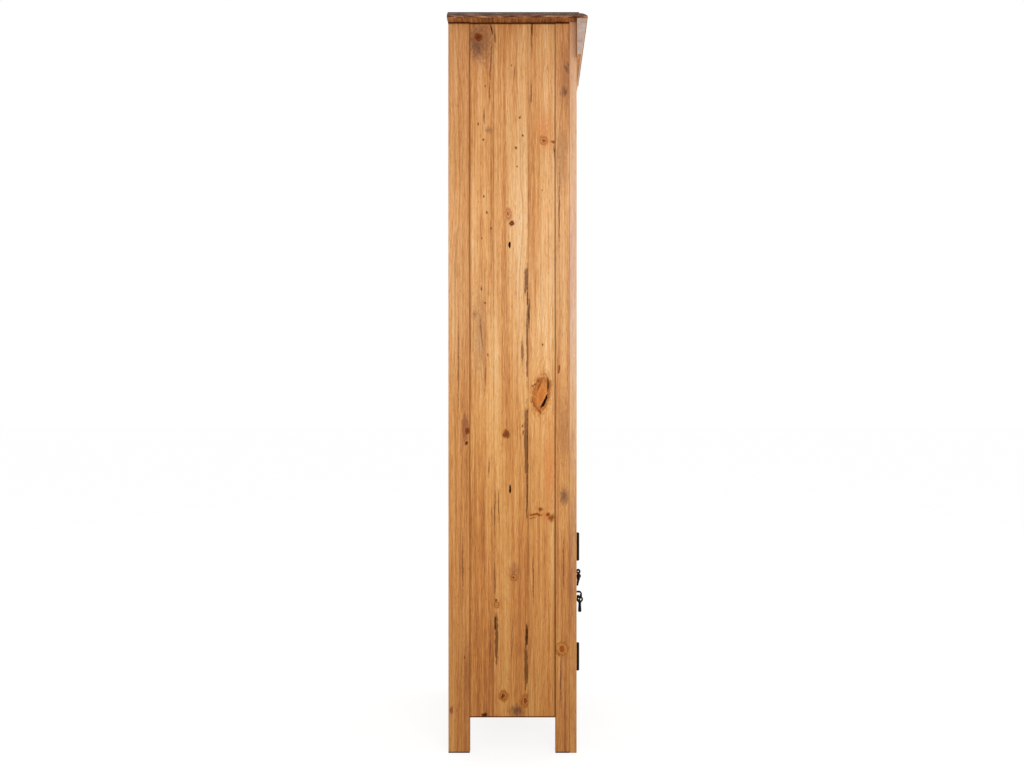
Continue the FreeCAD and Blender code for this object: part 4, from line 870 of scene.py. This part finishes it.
def makeLatch():
    facts = leverShape
    axis = turnPlaces["latch_turn"]
    rose = turnShape(roseShape["profile"], (axis.x, doorFront, axis.z), outward)
    standFor(rose, "latchRose", "latch_rose")
    low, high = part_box("latch_lever")
    ball = Vector((axis.x, low.y + facts["ballRadius"] * mm, axis.z))
    shapes = [addBall(ball, facts["ballRadius"], segments=40, rings=24),
              turnShape(facts["neck"], (axis.x, high.y, axis.z), outward)]
    reach = (facts["ringRadius"] + facts["ringWire"]) * facts["ringStretch"]
    ringCentre = Vector((axis.x, ball.y + facts["ringSetBack"] * mm, high.z - reach * mm))
    shapes.append(addRing(ringCentre, facts["ringRadius"], facts["ringWire"], facts["ringStretch"]))
    shapes.append(addBall(ball + Vector((0, 0, facts["beadRise"] * mm)), facts["beadRadius"]))
    root = ball - Vector((0, 0, facts["tailRoot"] * mm))
    out, drop = facts["tailEnd"]
    tip = Vector((axis.x, doorFront - out * mm, axis.z - drop * mm))
    shapes += [turnShape(facts["tail"], root, tip - root), addBall(tip, facts["tipRadius"])]
    lever = joinShapes("latchLever", shapes)
    castShape(lever, facts["grain"], facts["rounds"])
    standFor(lever, "latchLever", "latch_lever")


pullShape = {
    "plateHalfWidth": 10, "plateThickness": 1.7, "plateBevel": 0.8, "bevelShare": 0.93,
    "boss": [(0, 6.8), (2.4, 6.6), (3.4, 5.2), (8.5, 4.6), (10.4, 5.0), (11.8, 4.4), (12.6, 3.0), (13, 1.0)],
    "bossRise": 3.5,
    "neckWidth": 8.4, "neckThickness": 3.8, "neckBend": 8, "neckRise": 19.1, "neckChin": 9,
    "earThickness": 2, "earRadius": 2.8,
    "boltHeights": (19.5, -25.5),
    "bolt": [(0, 2.0), (19.4, 2.0), (19.4, 3.3), (19.9, 3.4), (20.5, 3.1), (21.0, 2.3), (21.3, 1.0)],
    "ringRadius": 6.7, "ringWire": 2.4, "ringDrop": 3.3,
    # a lobe behind the pin: its size each way, and its place behind and above the pin
    "lobe": (2.2, 4.0, 4.2), "lobePlace": (4.5, 4.6),
    "scroll": [(-1.0, 3.2), (0, 3.8), (1.0, 3.2)], "scrollPlace": (3.4, -6.6),
    "stemDrop": 2.2,
    "stem": [(0, 1.3), (3.2, 1.4), (4.4, 2.2), (9.4, 2.8)],  # inside the ring, from under the pin
    "bar": [(0, 3.2), (1.4, 3.5), (2.4, 4.3), (3.4, 4.3), (4.4, 3.5), (9, 3.8), (16, 4.3), (21, 4.6),
            (24.4, 4.7), (26.2, 3.9), (27, 1.8)],
    "pin": [(0, 0.9), (0.3, 1.8), (0.8, 2.2), (0.9, 1.5), (9.1, 1.5), (9.2, 2.2), (9.7, 1.8), (10, 0.9)],
    "grain": 0.4, "rounds": 3,
}


def makePull():
    facts = pullShape
    pin = turnPlaces["pendant_swing"]
    low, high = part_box("pull_plate")
    half = facts["plateHalfWidth"] * mm
    middle = (low.z + high.z) / 2
    bpy.ops.mesh.primitive_circle_add(
        vertices=48, radius=half, fill_type="NGON", location=(pin.x, doorFront, middle),
        rotation=outward.to_track_quat("Z", "Y").to_euler())
    plate = setPlace(bpy.context.object)
    for way, reach in ((1, high.z - half - middle), (-1, low.z + half - middle)):
        editMesh("DESELECT")
        bpy.ops.mesh.select_mode(type="VERT")
        setMode("OBJECT")
        for point in plate.data.vertices:
            point.select = (point.co.z - middle) * way > 0.01 * mm
        setMode("EDIT")
        bpy.ops.transform.translate(value=(0, 0, reach))
        setMode("OBJECT")
    editMesh()
    for step in ("plateThickness", "plateBevel"):
        extrude((0, -facts[step] * mm, 0))
    bpy.ops.transform.resize(value=(facts["bevelShare"], 1, facts["bevelShare"]),
                             center_override=(pin.x, doorFront, middle))
    closeMesh()

    boss = turnShape(facts["boss"], (pin.x, doorFront, pin.z + facts["bossRise"] * mm), outward)
    # the neck leaves the plate, bends down over the ring and ends in two ears for the pin
    halfWidth = facts["neckWidth"] / 2 * mm
    bend, thick = facts["neckBend"] * mm, facts["neckThickness"] * mm
    top = pin.z + facts["neckRise"] * mm
    bendStart = low.y + bend
    neck = addBlock((pin.x - halfWidth, bendStart, top - thick), (pin.x + halfWidth, doorFront - 1 * mm, top))
    startFacePick(neck)
    for face in neck.data.polygons:
        face.select = face.normal.y < -0.9
    setMode("EDIT")
    bpy.ops.mesh.spin(steps=10, angle=math.radians(-90), center=(pin.x, bendStart, top - bend),
                      axis=(1, 0, 0))
    armLength = top - bend - (pin.z + facts["neckChin"] * mm)
    extrude((0, 0, -armLength))
    closeMesh()
    shapes = [plate, boss, neck]
    for way in (-1, 1):
        outer = pin.x + way * halfWidth
        inner = outer - way * facts["earThickness"] * mm
        left, right = sorted((outer, inner))
        shapes.append(addBlock((left, low.y, pin.z), (right, pin.y, pin.z + (facts["neckChin"] + 1) * mm)))
        disc = [(0, facts["earRadius"]), (facts["earThickness"], facts["earRadius"])]
        shapes.append(turnShape(disc, (left, pin.y, pin.z), (1, 0, 0)))
    pull = joinShapes("pullPlate", shapes)
    castShape(pull, facts["grain"], facts["rounds"])
    standFor(pull, "pullPlate", "pull_plate")

    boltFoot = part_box("pull_bolts")[1].y
    bolts = [turnShape(facts["bolt"], (pin.x, boltFoot, pin.z + height * mm), outward)
             for height in facts["boltHeights"]]
    standFor(joinShapes("pullBolts", bolts), "pullBolts", "pull_bolts")
    pinLow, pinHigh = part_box("pull_pin")
    proud = (facts["pin"][-1][0] * mm - (pinHigh.x - pinLow.x)) / 2
    rivet = turnShape(facts["pin"], (pinLow.x - proud, pin.y, pin.z), (1, 0, 0))
    standFor(rivet, "pullPin", "pull_pin")

    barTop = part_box("pull_pendant")[0].z + facts["bar"][-1][0] * mm
    ring = addRing(pin - Vector((0, 0, facts["ringDrop"] * mm)), facts["ringRadius"], facts["ringWire"])
    lobe = addBall(pin + Vector((0, *facts["lobePlace"])) * mm, 1, scale=facts["lobe"])
    scroll = turnShape(facts["scroll"], pin + Vector((0, *facts["scrollPlace"])) * mm, (1, 0, 0))
    bar = turnShape(facts["bar"], (pin.x, pin.y, barTop), (0, 0, -1))
    stem = turnShape(facts["stem"], (pin.x, pin.y, pin.z - facts["stemDrop"] * mm), (0, 0, -1))
    pendant = joinShapes("pullPendant", [ring, lobe, scroll, stem, bar])
    castShape(pendant, facts["grain"], facts["rounds"])
    standFor(pendant, "pullPendant", "pull_pendant")


hingePinShape = {
    # end cap of the pin: height and radius of a small acorn
    "cap": [(0, 0.7), (0.3, 1.5), (0.8, 2.2), (1.2, 2.9), (1.6, 3.7), (2.1, 4.0), (2.5, 3.6)],
    "shaft": 2.0,
}


def makeHingePins():
    facts = hingePinShape
    for level in ("upper", "lower"):
        node = level + "_hinge_pin"
        low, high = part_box(node)
        length = (high.z - low.z) / mm
        cap = facts["cap"]
        capLength = cap[-1][0]
        shaft = [(capLength, facts["shaft"]), (length - capLength, facts["shaft"])]
        profile = cap + shaft + [(length - height, radius) for height, radius in reversed(cap)]
        foot = ((low.x + high.x) / 2, (low.y + high.y) / 2, low.z)
        standFor(turnShape(profile, foot, (0, 0, 1)), level + "HingePin", node)


screwSlots = {
    # node: the way its heads face, head radius, slot width and depth, material
    "hinge_frame_screws": ((1, 0, 0), 2.8, 0.8, 0.8, iron, "black_iron"),
    "hinge_door_screws": ((-1, 0, 0), 2.8, 0.8, 0.8, iron, "black_iron"),
    "left_cleat_screws": ((1, 0, 0), 4.0, 1.0, 1.1, steel, "plain_steel"),
    "right_cleat_screws": ((-1, 0, 0), 4.0, 1.0, 1.1, steel, "plain_steel"),
    "top_board_screws": ((0, 0, -1), 4.0, 1.0, 1.1, steel, "plain_steel"),
}
slotOverrun = 1.2  # the cutter's length, in radii of the head each way


def cutScrewSlots():
    # every screw keeps its place and gets a driver slot, turned as it happened to stop
    draw = random.Random(5)
    for node, (facing, headRadius, width, depth, material, slotName) in screwSlots.items():
        facing = Vector(facing)
        pickOnly(copyNode(node, node))
        editMesh()
        bpy.ops.mesh.remove_doubles(threshold=weldReach)
        bpy.ops.mesh.separate(type="LOOSE")
        setMode("OBJECT")
        screws = list(bpy.context.selected_objects)
        cutters = []
        for screw in screws:
            points = [point.co for point in screw.data.vertices]
            low = Vector(min(point[axis] for point in points) for axis in range(3))
            high = Vector(max(point[axis] for point in points) for axis in range(3))
            centre = (low + high) / 2
            head = Vector(high[axis] if facing[axis] > 0 else low[axis] if facing[axis] < 0 else centre[axis]
                          for axis in range(3))
            turn = facing.to_track_quat("Z", "Y") @ Quaternion((0, 0, 1), draw.uniform(0, math.pi))
            size = Vector((headRadius * slotOverrun * 2, width, depth * 2)) * mm
            bpy.ops.mesh.primitive_cube_add(size=1, location=head, rotation=turn.to_euler(), scale=size)
            cutters.append(setPlace(bpy.context.object))
        group = joinShapes(node, screws)
        cutter = joinShapes("slotCutter", cutters)
        applyModifier(group, "BOOLEAN", operation="DIFFERENCE", solver="EXACT", object=cutter)
        bpy.data.objects.remove(cutter)
        standFor(group, "slotted_" + node, node, material)


makeLatch()
makePull()
makeHingePins()
cutScrewSlots()
print("fittings modelled")


# Floor, backdrop and light

studio = {
    "floorSize": 30,  # metres
    "worldLevel": 0.62,
    "worldColour": "#FFFFFF",
    "floorColour": "#EDEDEB",
    "floorLift": 0.72,  # share of plain white in what the camera sees of the floor
    "floorGlow": 1.16,
    "lamps": {
        "sideSoftbox": {"place": (-2.9, -0.9, 1.25), "aim": (0, 0, 1.05), "size": 1.6, "power": 34},
        "frontSoftbox": {"place": (0.9, -3.2, 1.6), "aim": (0, 0, 0.9), "size": 2.0, "power": 26},
        "backSoftbox": {"place": (1.6, 3.0, 1.8), "aim": (0, 0, 0.9), "size": 2.2, "power": 22},
    },
}


def seenDirectly(tree):
    # 1 for what the camera sees by itself or in a gloss
    path = addNode(tree, "LightPath")
    return path, addNode(tree, "Math.MAXIMUM", (path.outputs["Is Camera Ray"], path.outputs["Is Glossy Ray"]))


def addStage():
    bpy.ops.mesh.primitive_plane_add(size=studio["floorSize"], location=(0, 0, 0))
    floor = bpy.context.object
    floor.name = "studioFloor"
    # matt white paper that keeps a soft shadow
    material, tree, shader = newMaterial("studioPaper", Roughness=0.9,
                                         Base_Color=linearColour(studio["floorColour"]))
    path, seen = seenDirectly(tree)
    lift = addNode(tree, "Math.MULTIPLY", (seen, studio["floorLift"]))
    glow = addNode(tree, "Emission", {"Strength": studio["floorGlow"]})
    mixed = addNode(tree, "MixShader", (lift, shader, glow))
    tree.links.new(mixed.outputs[0], tree.nodes["Material Output"].inputs["Surface"])
    floor.data.materials.append(material)


def addWorld():
    world = bpy.data.worlds.new("studioWorld")
    bpy.context.scene.world = world
    world.use_nodes = True
    tree = world.node_tree
    path, seen = seenDirectly(tree)
    seen = addNode(tree, "Math.MAXIMUM", (seen, path.outputs["Is Transmission Ray"]))
    level = addNode(tree, "MapRange", (seen, 0, 1, studio["worldLevel"], 1))
    fillSockets(tree, tree.nodes["Background"], {"Color": linearColour(studio["worldColour"]),
                                                 "Strength": level})


def addLamps():
    for name, facts in studio["lamps"].items():
        aim = Vector(facts["aim"]) - Vector(facts["place"])
        turn = aim.to_track_quat("-Z", "Y").to_euler()
        bpy.ops.object.light_add(type="AREA", location=facts["place"], rotation=turn)
        lamp = bpy.context.object
        lamp.name = name
        lamp.data.size = facts["size"]
        lamp.data.energy = facts["power"]


addStage()
addWorld()
addLamps()
bpy.context.scene.view_settings.view_transform = "Standard"
print("studio lit")
